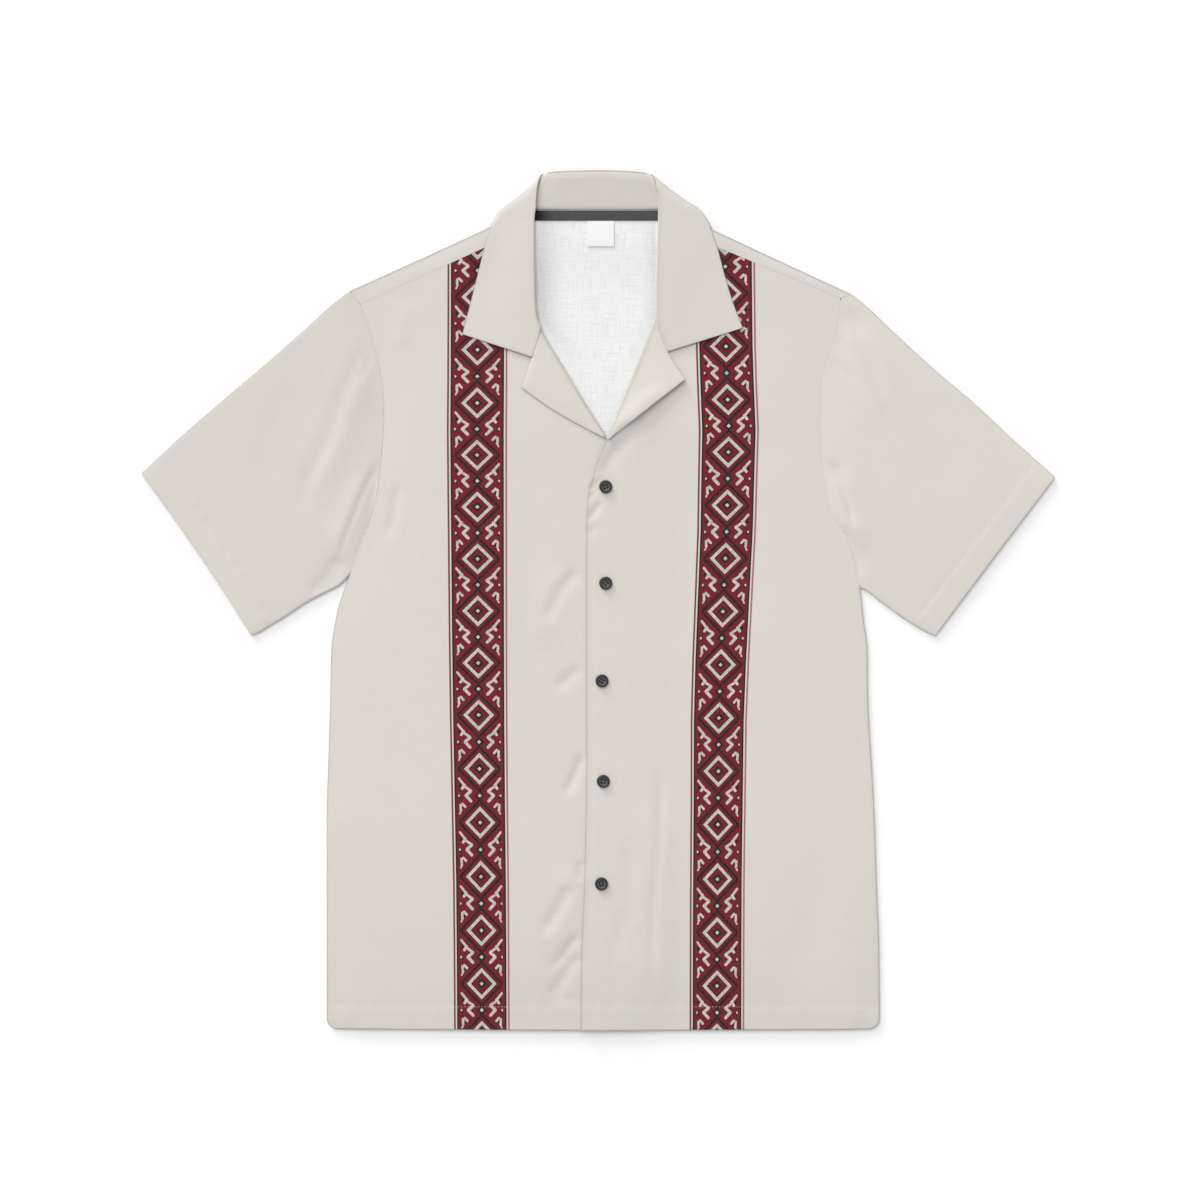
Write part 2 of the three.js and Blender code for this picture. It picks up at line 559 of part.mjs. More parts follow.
function sleeveTube(sections, cuffBow, side) {
  const outward = side === "l" ? 1 : -1;
  const hole = armhole(side, [sections[0].topX, sections[0].topY]);
  const across = shares(hole);
  const ends = sections.at(-1);
  const cuffTop = new THREE.Vector2(ends.topX, ends.topY);
  const cuffRun = new THREE.Vector2(ends.underX, ends.underY).sub(cuffTop);
  const cuffOut = new THREE.Vector2(-cuffRun.y, cuffRun.x).normalize().multiplyScalar(outward * cuffBow);
  const cuff = across.map((w) => cuffTop.clone().addScaledVector(cuffRun, w).addScaledVector(cuffOut, 4 * w * (1 - w)));
  const plans = sections.map((row, k) => {
    const s = k / (sections.length - 1);
    const top = k ? new THREE.Vector2(row.topX, row.topY) : hole[0];
    const under = k ? new THREE.Vector2(row.underX, row.underY) : hole.at(-1);
    return across.map((w, i) =>
      new THREE.Vector2()
        .addScaledVector(hole[i], 1 - s)
        .addScaledVector(cuff[i], s)
        .addScaledVector(top, 1 - w)
        .addScaledVector(under, w)
        .addScaledVector(hole[0], -(1 - s) * (1 - w))
        .addScaledVector(hole.at(-1), -(1 - s) * w)
        .addScaledVector(cuff[0], -s * (1 - w))
        .addScaledVector(cuff.at(-1), -s * w),
    );
  });
  // the fold edge of a station: its inset point and the outward direction square to the edge
  const foldEdge = (k, end, next) => {
    const before = plans[Math.max(k - 1, 0)].at(end);
    const after = plans[Math.min(k + 1, plans.length - 1)].at(end);
    const along = after.clone().sub(before).normalize();
    const at = insetCorner(plans[k].at(end), plans[k].at(next), along, SLEEVE_FOLD + CLOTH / 2);
    const out = new THREE.Vector2(-along.y, along.x);
    if (out.dot(plans[k].at(end).clone().sub(plans[k].at(next))) < 0) out.negate();
    return { at, out };
  };
  const stations = plans.map((plan, k) => {
    const s = k / (sections.length - 1);
    const top = foldEdge(k, 0, 1);
    const under = foldEdge(k, -1, -2);
    const line = [top.at, ...plan.slice(1, -1), under.at];
    const upper = line.map((p, i) => {
      const w = across[i];
      const puff = SLEEVE_PUFF * sections[k].ease * (4 * w * (1 - w)) ** 0.6;
      const edges = smooth(s, 0, 0.12) * smooth(w, 0, 0.12) * (1 - smooth(w, 0.88, 1));
      return point(p.x, p.y, FLOOR_MIDDLE + LAYER + puff + foldHeight(p.x, p.y) * edges);
    });
    const lower = line.map((p) => point(p.x, p.y, FLOOR_MIDDLE));
    const turnZ = FLOOR_MIDDLE + SLEEVE_FOLD;
    const first = top.at.clone().addScaledVector(top.out, SLEEVE_FOLD);
    const last = under.at.clone().addScaledVector(under.out, SLEEVE_FOLD);
    return [point(first.x, first.y, turnZ), ...upper, point(last.x, last.y, turnZ), ...lower.reverse()];
  });
  const ordered = outward < 0 ? stations : stations.map((ring) => ring.reverse());
  return wall(ordered, () => true, true);
}

// Trim that lies on the back, made from the back's own heights
function patch(box, lift, steps) {
  const rows = [];
  for (const y of [box.bottom, (box.bottom + box.top) / 2, box.top]) {
    const line = [];
    for (let i = 0; i <= steps; i++) {
      const x = lerp(box.left, box.right, i / steps);
      line.push(point(x, y, backMiddle(x, y) + lift));
    }
    rows.push(line);
  }
  return wall(rows);
}

function button(x, y) {
  const profile = [
    [0, 0],
    [BUTTON.radius - 1.1, 0],
    [BUTTON.radius, BUTTON.edge * 0.7],
    [BUTTON.radius - 0.7, BUTTON.rim],
    [BUTTON.rimInner, BUTTON.rim],
    [BUTTON.rimInner - 0.7, BUTTON.dish],
    [0, BUTTON.dish],
  ];
  const section = new wasm.CrossSection([profile]);
  let body = wasm.Manifold.revolve(section, BUTTON_SIDES);
  for (const corner of [45, 135, 225, 315]) {
    const angle = THREE.MathUtils.degToRad(corner);
    const hole = wasm.Manifold.cylinder(6, BUTTON.hole, BUTTON.hole, HOLE_SIDES, true);
    body = body.subtract(hole.translate([BUTTON.holeAt * Math.cos(angle), BUTTON.holeAt * Math.sin(angle), 1]));
  }
  const mesh = body.getMesh();
  const geometry = new THREE.BufferGeometry();
  geometry.setAttribute("position", new THREE.BufferAttribute(new Float32Array(mesh.vertProperties), 3));
  geometry.setIndex([...mesh.triVerts]);
  geometry.translate(x, y, leftFrontMiddle(x, y) + CLOTH / 2 + BUTTON_GAP);
  return geometry;
}

add("back", backPanel(), COLORS.cloth);
add("right_front", frontPanel("right"), COLORS.cloth);
add("left_front", frontPanel("left"), COLORS.cloth);
add("right_sleeve", sleeveTube(RIGHT_SLEEVE, RIGHT_CUFF_BOW, "r"), COLORS.cloth);
add("left_sleeve", sleeveTube(LEFT_SLEEVE, LEFT_CUFF_BOW, "l"), COLORS.cloth);
add("collar", collarBand(), COLORS.cloth);
add("neck_tape", patch(TAPE, LAYER, 6), COLORS.tape);
add("care_label", patch(LABEL, LAYER, 2), COLORS.label);
for (const { name, x, y } of BUTTONS) add(name, button(x, y), COLORS.button, 0.25);

// Centre of the footprint at the origin
const box = new THREE.Box3().setFromObject(shirt);
shirt.position.set(-(box.min.x + box.max.x) / 2, -(box.min.y + box.max.y) / 2, -box.min.z);

export default shirt;
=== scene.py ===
import math

import bpy
import numpy as np
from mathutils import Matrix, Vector


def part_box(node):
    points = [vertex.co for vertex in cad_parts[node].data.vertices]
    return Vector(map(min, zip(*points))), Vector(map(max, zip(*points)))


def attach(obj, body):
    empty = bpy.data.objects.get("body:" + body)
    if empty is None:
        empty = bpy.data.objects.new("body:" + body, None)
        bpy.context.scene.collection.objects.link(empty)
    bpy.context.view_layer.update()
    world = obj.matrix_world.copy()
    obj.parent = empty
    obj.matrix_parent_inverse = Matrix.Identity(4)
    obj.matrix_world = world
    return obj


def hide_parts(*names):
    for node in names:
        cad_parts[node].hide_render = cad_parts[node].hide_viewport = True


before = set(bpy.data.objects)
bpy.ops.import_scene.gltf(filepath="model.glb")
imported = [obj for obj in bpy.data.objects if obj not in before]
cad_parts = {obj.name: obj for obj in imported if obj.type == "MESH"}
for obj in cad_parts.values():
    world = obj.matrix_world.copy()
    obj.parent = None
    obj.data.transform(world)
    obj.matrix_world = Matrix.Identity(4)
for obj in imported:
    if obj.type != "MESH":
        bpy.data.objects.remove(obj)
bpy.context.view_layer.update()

# A camp shirt laid flat, front up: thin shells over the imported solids, printed bands,
# woven cloth, stitched hems and four-hole buttons. Lengths are in millimetres until a mesh is made.

MM = 0.001
SCENE = bpy.context.scene

# Cloth
THICK = 0.9
LAYER = 1.5
LAP_LAYER = 1.7
SLEEVE_GAP = 0.03
ARMPIT_GAP, ARMPIT_RUN = 1.4, 8.0
FLOOR_MIDDLE = 0.6
CELL = 2.7

# Ease, lifts and turns, as in the solids
BODY_PUFF = 2.2
SLEEVE_PUFF = 2.2
INNER_EASE = 0.35
HEM_Y = -395.0
PUFF_HEM_RUN = 70.0
PUFF_SHOULDER_Y = 150.0
PUFF_SHOULDER_RUN = 110.0
SLOW_RIPPLE, QUICK_RIPPLE = 0.10, 0.035
NECK_LIFT = 1.7
NECK_LIFT_Y = (285.0, 340.0)
NECK_LIFT_X = (102.0, 157.0)
LAP_X = (24.0, 74.0)
LAP_Y = (158.0, 238.0)
TURN_RADIUS = 0.75
LAPEL_ROLL = 1.25
LAPEL_LIFT = 0.5
LAPEL_FLARE = 3.0
LAPEL_LAYER = 2.0
EDGE_DROP = 0.55
NECK_X = 62.0
NECK_SEAM_Y = 360.0
NOTCH_LIFT = 0.8
# A line of points before a turn stands this far in from the turn's start
TURN_INSET = 0.6
LEAST_SINE = 0.4

# Sewing
HEM_STITCH_Y = -373.5
CUFF_HEM = 22.0
CUFF_WIDTH = 180.0
HEM_STEP = 0.28
HEM_RISE = 1.0
HEM_PUCKER, HEM_PUCKER_REACH = 0.13, 5.5
CUFF_PUCKER, CUFF_PUCKER_REACH = 0.12, 5.0
STITCH_DENT, STITCH_DENT_REACH = 0.16, 1.5
PLACKET_STITCH_IN = 2.2
STITCH_LONG = 2.3
STITCH_GAP = 0.8
STITCH_RADIUS = 0.17
SINK = 0.08

# Painted shade at each pressed fold, seam and free rim, and at the collar's back where a wing covers it: how
# dark, where 1 is a cut edge; a fade goes on row by row beside the fold
SHOULDER_SHADE = 0.98
LAPEL_SHADE, LAPEL_FADE = 0.85, (0.75, 0.6, 0.4)
COLLAR_SHADE, COLLAR_BACK_SHADE, COLLAR_WING_FADE = 0.4, 1.08, (0.8, 0.75, 0.55, 0.3)
COLLAR_CORNER_SHADE = (0, 0.8, 1.05, 1.05, 0)
STAND_END_SHADE = {"r": (0.3, 1.25), "l": (0, 0.7)}
SLEEVE_TOP_SHADE, UNDERARM_SHADE, SLEEVE_FOLD_SHADE = 1.0, 0.4, 0.5
CUFF_SHADE = {"r": 0.65, "l": 0.15}
SEAM_SHADE = 0.6

BUTTON_CENTRES = [(6.6, 105.1), (6.6, 16.5), (3.2, -73.4), (4.4, -165.7), (2.7, -259.9)]
LOW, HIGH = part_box("button_1")
SHIFT = np.array([(LOW.x + HIGH.x) / 2, (LOW.y + HIGH.y) / 2, 0.0])
SHIFT[:2] -= np.array(BUTTON_CENTRES[0]) * MM


def table(columns, rows):
    return {name: np.array([row[i] for row in rows], float) for i, name in enumerate(columns)}


# Body sections from the hem to the forward shoulder seam; r is the wearer's right, l the left
BODY_COLUMNS = ["rSideX", "rSideY", "rEdgeX", "rEdgeY", "lEdgeX", "lEdgeY", "lSideX", "lSideY", "neckY"]
BODY_ROWS = [
    [-240, -393.6, 20.5, -395.4, -16.1, -395.2, 247, -394, -395.2],
    [-250.2, -385, 20.5, -385, -16.1, -385, 258.6, -385, -385],
    [-250.2, -325, 20.5, -325, -15.5, -325, 258.2, -325, -325],
    [-250.2, -260, 20.5, -260, -13, -260, 255.8, -260, -260],
    [-250.2, -200, 20.5, -200, -11.8, -200, 253.9, -200, -200],
    [-248.6, -145, 20.5, -145, -11, -145, 250.9, -145, -145],
    [-247, -91, 20.5, -91, -11.2, -91, 247.9, -91, -91],
    [-245.9, -45, 20.5, -45, -11.4, -45, 247.3, -45, -45],
    [-241.5, -14.4, 20.5, -15, -11.5, -15, 243.8, -17, -12],
    [-228.2, 27, 20.5, 20, -11.2, 20, 240.6, 12.4, 24],
    [-216.9, 57, 20.5, 55, -10.9, 55, 231.7, 50, 57],
    [-205.8, 90.4, 20.5, 90, -9.8, 92, 213.5, 86, 92],
    [-201.5, 120, 17.5, 120, -4, 118, 207.5, 118, 126],
    [-198.7, 148.4, 7, 150.5, 8.3, 149, 204.8, 150, 157],
    [-197.8, 172, -7.8, 174.9, 19.3, 177.5, 203.8, 172, 187],
    [-198.5, 195, -22.7, 199.9, 30.3, 205, 204.5, 195, 217],
    [-201.5, 214, -37.5, 224.8, 41.3, 232.4, 207.5, 212, 245],
    [-206, 233, -52.3, 249.7, 52.3, 259.9, 213, 232, 273],
    [-211, 251, -64, 278, 63, 285, 218.5, 248, 300],
    [-215, 262, -72, 310, 71, 313, 220.8, 263, 325],
    [-219.2, 273.3, -70, 341, 70, 342, 222.7, 278.9, 346],
]
ARMPIT_ROW, BREAK_ROW, GORGE_ROW = 9, 13, 17
SHOULDER_FOLD = {"r": ((-229.3, 285.6), (-NECK_X, 361.4)), "l": ((233.9, 282.3), (NECK_X, 362))}
LAPEL_EDGES = {
    "r": [[-4, 155], [-22, 164.2], [-46, 178.2], [-70.7, 196.1], [-61.0, 223.4]],
    "l": [[18, 155.6], [33, 167], [55, 184.5], [79.6, 203.6], [62.9, 228.4]],
}

# Collar stations from the notch round to the centre back, one table for each half
COLLAR_COLUMNS = [
    "seamX", "seamY", "rollX", "rollY", "rollZ", "radius", "fall", "edgeX", "edgeY", "edgeZ", "bow",
]
COLLAR = {
    "r": [
        [0, 0, -61.2, 224.3, 0, 0, 1, -125.2, 245.5, 0, 0],
        [-57.0, 257, -53.0, 252.0, 5.2, 1.2, 1, -121.8, 259, 0, 0],
        [-59.6, 270.5, -56.9, 264, 5.4, 1.3, 1, -117.6, 275, 0, 0],
        [-67.3, 294, -58.1, 290.7, 5.8, 1.4, 1, -111.8, 298, 0, 0],
        [-70.7, 320, -58.5, 321, 5.9, 1.4, 1, -104.7, 325.7, 0, 0],
        [-67.5, 343, -58.6, 345, 5.7, 1.3, 1, -101.4, 336, 0, 0],
        [-63.6, 351.2, -58.4, 351.4, 5.6, 1.2, 1, -99.8, 340.5, 0, 0.2],
        [0, 0, -57.6, 366, 6.9, 0, 1, -98.4, 343, 0, 0.5],
        [0, 0, -56, 382, 7.0, 0, 0, -98.2, 344.6, 4.9, 0.8],
        [0, 0, -53.4, 390.2, 5.9, 0, 0, -98.6, 345.4, 4.2, 1],
        [0, 0, -52, 392.7, 3.9, 0, 0, -98.8, 346, 2.9, 1],
        [0, 0, -50.4, 392.9, 2.4, 0, 0, -98.4, 346.3, 1.6, 1],
        [-56.4, 361, -47.6, 394.5, 3.7, 2.0, -1, -94, 346.4, 0.6, 0.8],
        [-42, 360.6, -36, 395.6, 4.2, 2.3, -1, -74, 347.2, 0.6, 0],
        [-22, 360.4, -18, 396.3, 4.2, 2.4, -1, -38, 347.6, 0.6, 0],
        [0, 360.4, 0, 396.6, 4.2, 2.4, -1, 0, 347.6, 0.6, 0],
    ],
    "l": [
        [0, 0, 62.5, 229.1, 0, 0, 1, 132.8, 251.3, 0, 0],
        [56.2, 266, 52.2, 261.2, 5.2, 1.2, 1, 128.4, 262.6, 0, 0],
        [57.6, 276, 52.6, 271, 5.4, 1.3, 1, 124.4, 273, 0, 0],
        [66, 298, 52.8, 295, 5.8, 1.4, 1, 116.4, 299, 0, 0],
        [70, 320, 53.6, 321, 5.9, 1.4, 1, 109.2, 325.7, 0, 0],
        [68.7, 343.6, 54.4, 345, 5.8, 1.4, 1, 105.6, 336, 0, 0],
        [64, 352.2, 54.6, 357, 5.8, 1.4, 1, 104.2, 340.5, 0, 0.2],
        [61, 358, 54.6, 370, 5.9, 1.4, 1, 102.6, 343, 0, 0.5],
        [0, 0, 52.8, 383.2, 7.0, 0, 0, 102.6, 344.2, 4.9, 0.8],
        [0, 0, 50.6, 389.8, 5.9, 0, 0, 103, 345, 4.2, 1],
        [0, 0, 49, 392.4, 3.9, 0, 0, 103.4, 345.4, 2.9, 1],
        [0, 0, 47.4, 392.6, 2.4, 0, 0, 102.8, 345.8, 1.6, 1],
        [56.4, 361, 44.6, 394.2, 3.7, 2.0, -1, 97, 346.2, 0.6, 0.8],
        [42, 360.6, 34, 395.4, 4.2, 2.3, -1, 76, 347.2, 0.6, 0],
        [22, 360.4, 17, 396.3, 4.2, 2.4, -1, 40, 347.6, 0.6, 0],
    ],
}
# Under each wing's top the back of the collar runs on to these points, from the neck seam to the roll
UNDER_WING_AT = [0, 0.45, 0.62, 0.74, 0.88, 1]
UNDER_WING = {
    "r": [
        (-63.0, 363.6, 3.2), (-61.0, 376, 3.5), (-57.6, 386, 3.4),
        (-55.2, 388.8, 3.3), (-53.4, 390.4, 2.8), (-52.2, 391.0, 2.2),
    ],
    "l": [
        (62.0, 362.6, 3.6), (59.0, 376, 4.4), (55.2, 386, 4.7),
        (52.6, 388.6, 4.6), (50.6, 390.2, 3.4), (49.2, 390.9, 2.4),
    ],
}
# The first station with the back of the collar, and how far the fall's line bows along its length
BACK_STATION = 12
SHOULDER_BOW = {"r": [0, -1, 0.7, 3.2, 0], "l": [0, 0.4, 1.8, 4.2, 0]}

# Sleeve outlines from the armhole to the cuff: the upper fold, the underarm fold, and how far it puffs
SLEEVES = {
    "r": [
        [-229.3, 285.6, -228.2, 27, 0.1],
        [-246, 272.4, -238, 14.9, 0.7],
        [-268.3, 252.1, -252, 7.5, 1],
        [-306.2, 218.7, -270, -2.2, 1],
        [-341.9, 188.6, -288.3, -14.4, 1],
        [-380, 155.6, -303.5, -23.4, 1],
        [-404, 133.4, -313, -29.2, 0.72],
        [-421, 117.7, -319.5, -31.7, 0.42],
    ],
    "l": [
        [233.9, 282.3, 240.6, 12.4, 0.1],
        [249.5, 269.2, 248.5, 8.1, 0.7],
        [267.3, 252.1, 257, 1.5, 1],
        [309.7, 213.1, 267.6, -6.4, 1],
        [345, 183.2, 278.5, -14.4, 1],
        [379, 151.4, 291, -22.4, 0.95],
        [401.1, 131.6, 301.5, -28.4, 0.68],
        [420.5, 114.4, 309.7, -32.2, 0.38],
    ],
}
# How far each cuff line bows out at its middle
CUFF_BOW = {"r": -2.2, "l": -0.6}

# Broad folds of the solids: from, to, half width, height
FOLDS = [
    [(-216, 236), (-262, 96), 17, 2.2],
    [(-212, 118), (-240, 40), 13, 1.6],
    [(236, 262), (270, 166), 17, 2.2],
    [(222, 122), (240, 48), 13, 1.5],
    [(58, -160), (52, -372), 17, 1.4],
    [(-32, 30), (-56, -40), 14, 1.0],
    [(-26, -246), (-44, -322), 14, 1.0],
]

# Creases of the visible cloth: the line, half width, height (a trough is negative)
CREASES = [
    # beside the right armhole
    [[(-209, 243), (-221, 222), (-235, 189), (-248, 151), (-266, 113), (-279, 80)], 9.0, -1.7],
    [[(-209, 225), (-214, 214), (-222, 200)], 2.6, -0.5],
    [[(-203, 129), (-219, 95), (-232, 62), (-241, 35)], 3.4, -0.9],
    [[(-199, 126), (-213, 94), (-226, 60), (-235, 34)], 7.5, -0.9],
    [[(-236, 42), (-252, 15), (-268, 4)], 8.0, -1.2],
    [[(-280, 200), (-300, 150), (-312, 96)], 16.0, -0.7],
    [[(-184, 109), (-189, 75), (-195, 55)], 5.0, -0.8],
    [[(-173, 276), (-180, 255), (-186, 230)], 9.0, 0.5],
    # beside the left armhole
    [[(227, 271), (241, 245), (254, 211), (265, 179), (272, 157)], 8.0, -1.6],
    [[(220, 243), (234, 226)], 3.0, -0.5],
    [[(215, 222), (239, 200)], 3.0, -0.5],
    [[(211, 130), (223, 109), (231, 87), (234, 66)], 3.6, -1.1],
    [[(216, 132), (228, 110), (237, 88), (241, 64)], 7.0, -0.7],
    [[(223, 69), (231, 55), (239, 20)], 7.0, -0.9],
    [[(300, 190), (318, 140), (322, 96)], 16.0, -0.7],
    # along the placket
    [[(-8, 101), (-1, 112)], 2.1, -1.1],
    [[(-8, 93), (0, 106)], 2.1, -1.0],
    [[(-9, 74), (3, 92)], 3.0, -1.2],
    [[(-9, 60), (-1, 71)], 2.8, -0.6],
    [[(-2, 112), (10, 132), (26, 150), (48, 170)], 7.0, -1.0],
    [[(-17, 30), (-34, 11), (-50, -22)], 6.5, -1.5],
    [[(-16, -61), (-40, -82)], 5.5, -1.1],
    [[(-14, -140), (-21, -159), (-31, -181)], 4.5, -1.4],
    [[(-16, -238), (-17, -258)], 3.2, -0.9],
    [[(-25, -259), (-38, -286), (-54, -311)], 6.5, -1.6],
    [[(-18, -305), (-33, -327), (-45, -340)], 4.5, -1.2],
    [[(-18, -323), (-36, -353), (-46, -368)], 6.0, -1.3],
    [[(-44, -366), (-18, -366)], 3.5, -0.5],
    [[(58, -145), (56, -216), (51, -278), (50, -321), (52, -369)], 5.0, -1.0],
    [[(28, -216), (27, -286), (10, -340)], 8.0, -0.7],
    [[(80, 120), (76, 40), (82, -60)], 16.0, -0.5],
    # broad hollows of the lower fronts
    [[(-235, -200), (-190, -290), (-150, -375)], 26.0, -0.9],
    [[(236, -190), (196, -290), (180, -372)], 24.0, -0.8],
    [[(-90, 120), (-84, 20), (-92, -90)], 20.0, 0.6],
    [[(160, 150), (170, 40), (164, -80)], 22.0, 0.6],
]

# The left front lifts along its lapel's lower edge and down to the first button
LEFT_FRONT_CREASES = [
    [[(-8, 104), (-4, 118), (8, 149), (24, 166), (45, 184), (74, 202)], 9.0, 1.8],
    [[(-11.2, 90), (-11.2, -60), (-11.6, -200), (-15, -330), (-16, -390)], 2.6, 0.18],
    [[(-6.6, 100), (-6.6, -60), (-7, -200), (-10, -330), (-11, -390)], 1.5, -0.34],
]

# Faint ridges of the faces that lie down: the back, and the lower layer of each sleeve
BACK_CREASES = [
    [[(-190, 120), (-150, 90), (-96, 74)], 7.0, 0.42],
    [[(-196, 60), (-160, 20), (-120, -30)], 9.0, 0.34],
    [[(192, 132), (150, 96), (110, 84)], 7.0, 0.42],
    [[(206, 70), (164, 30), (128, -36)], 10.0, 0.36],
    [[(-30, 240), (-22, 160), (-34, 60)], 12.0, 0.4],
    [[(60, 210), (52, 110), (66, 10)], 9.0, 0.34],
    [[(-210, -120), (-120, -142), (-20, -128)], 8.0, 0.36],
    [[(30, -180), (118, -200), (204, -184)], 9.0, 0.36],
    [[(-80, -220), (-92, -290), (-84, -360)], 10.0, 0.34],
    [[(120, -240), (132, -310), (126, -368)], 11.0, 0.34],
    [[(-170, 200), (-140, 176), (-110, 168)], 5.0, 0.3],
]
SLEEVE_CREASES = {
    "r": [
        [[(-250, 60), (-282, 92), (-306, 140)], 8.0, 0.3],
        [[(-262, 30), (-300, 52), (-340, 98)], 6.0, 0.26],
        [[(-300, 176), (-330, 150), (-352, 112)], 9.0, 0.24],
    ],
    "l": [
        [[(256, 58), (286, 88), (310, 132)], 8.0, 0.3],
        [[(262, 22), (300, 50), (338, 96)], 6.0, 0.26],
        [[(306, 172), (330, 142), (348, 106)], 9.0, 0.24],
    ],
}


def smooth(value, low, high):
    share = np.clip((value - low) / (high - low), 0, 1)
    return share * share * (3 - 2 * share)


def lerp(a, b, share):
    return a + (b - a) * share


def bell(distance, reach):
    return np.exp(-((distance / reach) ** 2))


def pchip(knots, values, at):
    """A smooth curve through the rows of values, which never overshoots them."""
    knots, values, at = (np.asarray(a, float) for a in (knots, values, at))
    flat = values.reshape(len(knots), -1)
    step = np.diff(knots)[:, None]
    rise = np.diff(flat, axis=0) / step
    slope = np.zeros_like(flat)
    slope[0], slope[-1] = rise[0], rise[-1]
    if len(knots) > 2:
        a, b = rise[:-1], rise[1:]
        wa, wb = 2 * step[1:] + step[:-1], step[1:] + 2 * step[:-1]
        same = a * b > 0
        safe_a, safe_b = np.where(same, a, 1), np.where(same, b, 1)
        slope[1:-1] = np.where(same, (wa + wb) / (wa / safe_a + wb / safe_b), 0)
    k = np.clip(np.searchsorted(knots, at, side="right") - 1, 0, len(knots) - 2)
    h = (knots[k + 1] - knots[k])[:, None]
    t = ((at - knots[k])[:, None]) / h
    low, high, m0, m1 = flat[k], flat[k + 1], slope[k] * h, slope[k + 1] * h
    out = (2 * t**3 - 3 * t**2 + 1) * low + (t**3 - 2 * t**2 + t) * m0
    out = out + (3 * t**2 - 2 * t**3) * high + (t**3 - t**2) * m1
    return out.reshape((len(at),) + values.shape[1:])


COARSE = table(BODY_COLUMNS, BODY_ROWS)


def fine_body():
    """The body's sections a cell apart, and the row of each listed section."""
    along = COARSE["neckY"]
    steps = np.maximum(2, np.round(np.diff(along) / CELL)).astype(int)
    steps[0] = 5
    rows = np.concatenate([[0], np.cumsum(steps)])
    section = np.interp(np.arange(rows[-1] + 1), rows, np.arange(len(along)))
    at = np.interp(section, np.arange(len(along)), along)
    body = {name: pchip(along, COARSE[name], at) for name in BODY_COLUMNS}
    # each hem corner is a quarter of an ellipse
    corner = section < 1
    turn = section[corner] * math.pi / 2
    for side in "rl":
        x, y = COARSE[side + "SideX"], COARSE[side + "SideY"]
        body[side + "SideX"][corner] = x[1] + (x[0] - x[1]) * (1 - np.sin(turn))
        body[side + "SideY"][corner] = y[1] + (y[0] - y[1]) * np.cos(turn)
    return body, rows, section


BODY, BODY_AT, SECTION = fine_body()


def body_line(side, part):
    """The line of a side or of a front edge, from the hem to the shoulder seam."""
    return np.stack([BODY[side + part + "X"], BODY[side + part + "Y"]], -1)


# Heights of the middle of each layer
def neck_lift(x, y):
    return NECK_LIFT * smooth(y, *NECK_LIFT_Y) * (1 - smooth(np.abs(x), *NECK_LIFT_X))


def back_middle(x, y):
    return FLOOR_MIDDLE + neck_lift(x, y)


def sides(y):
    return [np.interp(y, COARSE[side + "SideY"], COARSE[side + "SideX"]) for side in "rl"]


def from_sides(x, y):
    """How far in from the nearer side edge a point is."""
    left, right = sides(y)
    return np.minimum(x - left, right - x)


def body_puff(x, y):
    left, right = sides(y)
    across = 2 * ((x - left) / (right - left)) - 1
    along = smooth(y, HEM_Y, HEM_Y + PUFF_HEM_RUN)
    top = 1 - smooth(y, PUFF_SHOULDER_Y, PUFF_SHOULDER_Y + PUFF_SHOULDER_RUN)
    return BODY_PUFF * np.maximum(0, 1 - across**4) * along * top


def fold_height(x, y):
    total = np.zeros(np.shape(x))
    for (x1, y1), (x2, y2), half_width, height in FOLDS:
        run = np.array([x2 - x1, y2 - y1], float)
        share = ((x - x1) * run[0] + (y - y1) * run[1]) / (run @ run)
        off = ((x - x1) * run[1] - (y - y1) * run[0]) / math.sqrt(run @ run)
        ends = smooth(share, -0.1, 0.25) * (1 - smooth(share, 0.75, 1.1))
        total += height * ends * bell(off, half_width)
    return total


def crease(line, half_width, height, x, y):
    """One soft trough or ridge along a bent line; it fades out at both ends."""
    points = np.array(line, float)
    lengths = np.linalg.norm(np.diff(points, axis=0), axis=1)
    starts = np.concatenate([[0], np.cumsum(lengths)])
    best, share = np.full(np.shape(x), 1e9), np.zeros(np.shape(x))
    for k, (a, b) in enumerate(zip(points[:-1], points[1:])):
        run = b - a
        t = np.clip(((x - a[0]) * run[0] + (y - a[1]) * run[1]) / (run @ run), 0, 1)
        off = np.hypot(x - a[0] - t * run[0], y - a[1] - t * run[1])
        nearer = off < best
        best = np.where(nearer, off, best)
        share = np.where(nearer, (starts[k] + t * lengths[k]) / starts[-1], share)
    ends = smooth(share, -0.02, 0.2) * (1 - smooth(share, 0.72, 1.02))
    return height * ends * bell(best, half_width)


def crease_height(x, y, creases=CREASES):
    return sum(crease(*one, x, y) for one in creases)


def ripple(x, y):
    """The faint unevenness of cloth that was pressed and laid down by hand."""
    slow = np.sin(x / 23 + 1.3 * np.sin(y / 41)) * np.sin(y / 37 + 1.1 * np.sin(x / 53))
    quick = np.sin(x / 9.1 + y / 31 + 2 * np.sin(y / 27)) * np.sin(y / 13.3 - x / 19)
    return SLOW_RIPPLE * slow + QUICK_RIPPLE * quick


def hem_share(y):
    return 1 - smooth(y, HEM_STITCH_Y - 0.6, HEM_STITCH_Y + 1.2)


def hem_pucker(x, y):
    off = y - HEM_STITCH_Y
    waves = np.sin(x / 3.1 + 1.7 * np.sin(x / 11))
    return HEM_PUCKER * bell(off, HEM_PUCKER_REACH) * waves - STITCH_DENT * bell(off, STITCH_DENT_REACH)


def front_middle(x, y):
    inside_by = from_sides(x, y)
    fade = smooth(inside_by, 0, 30) * smooth(y, HEM_Y, HEM_Y + 30)
    near = smooth(inside_by, 0, 12) * smooth(y, HEM_Y, HEM_Y + 14)
    shape = (INNER_EASE + fold_height(x, y)) * fade + (crease_height(x, y) + ripple(x, y)) * near
    return back_middle(x, y) + LAYER + body_puff(x, y) + shape


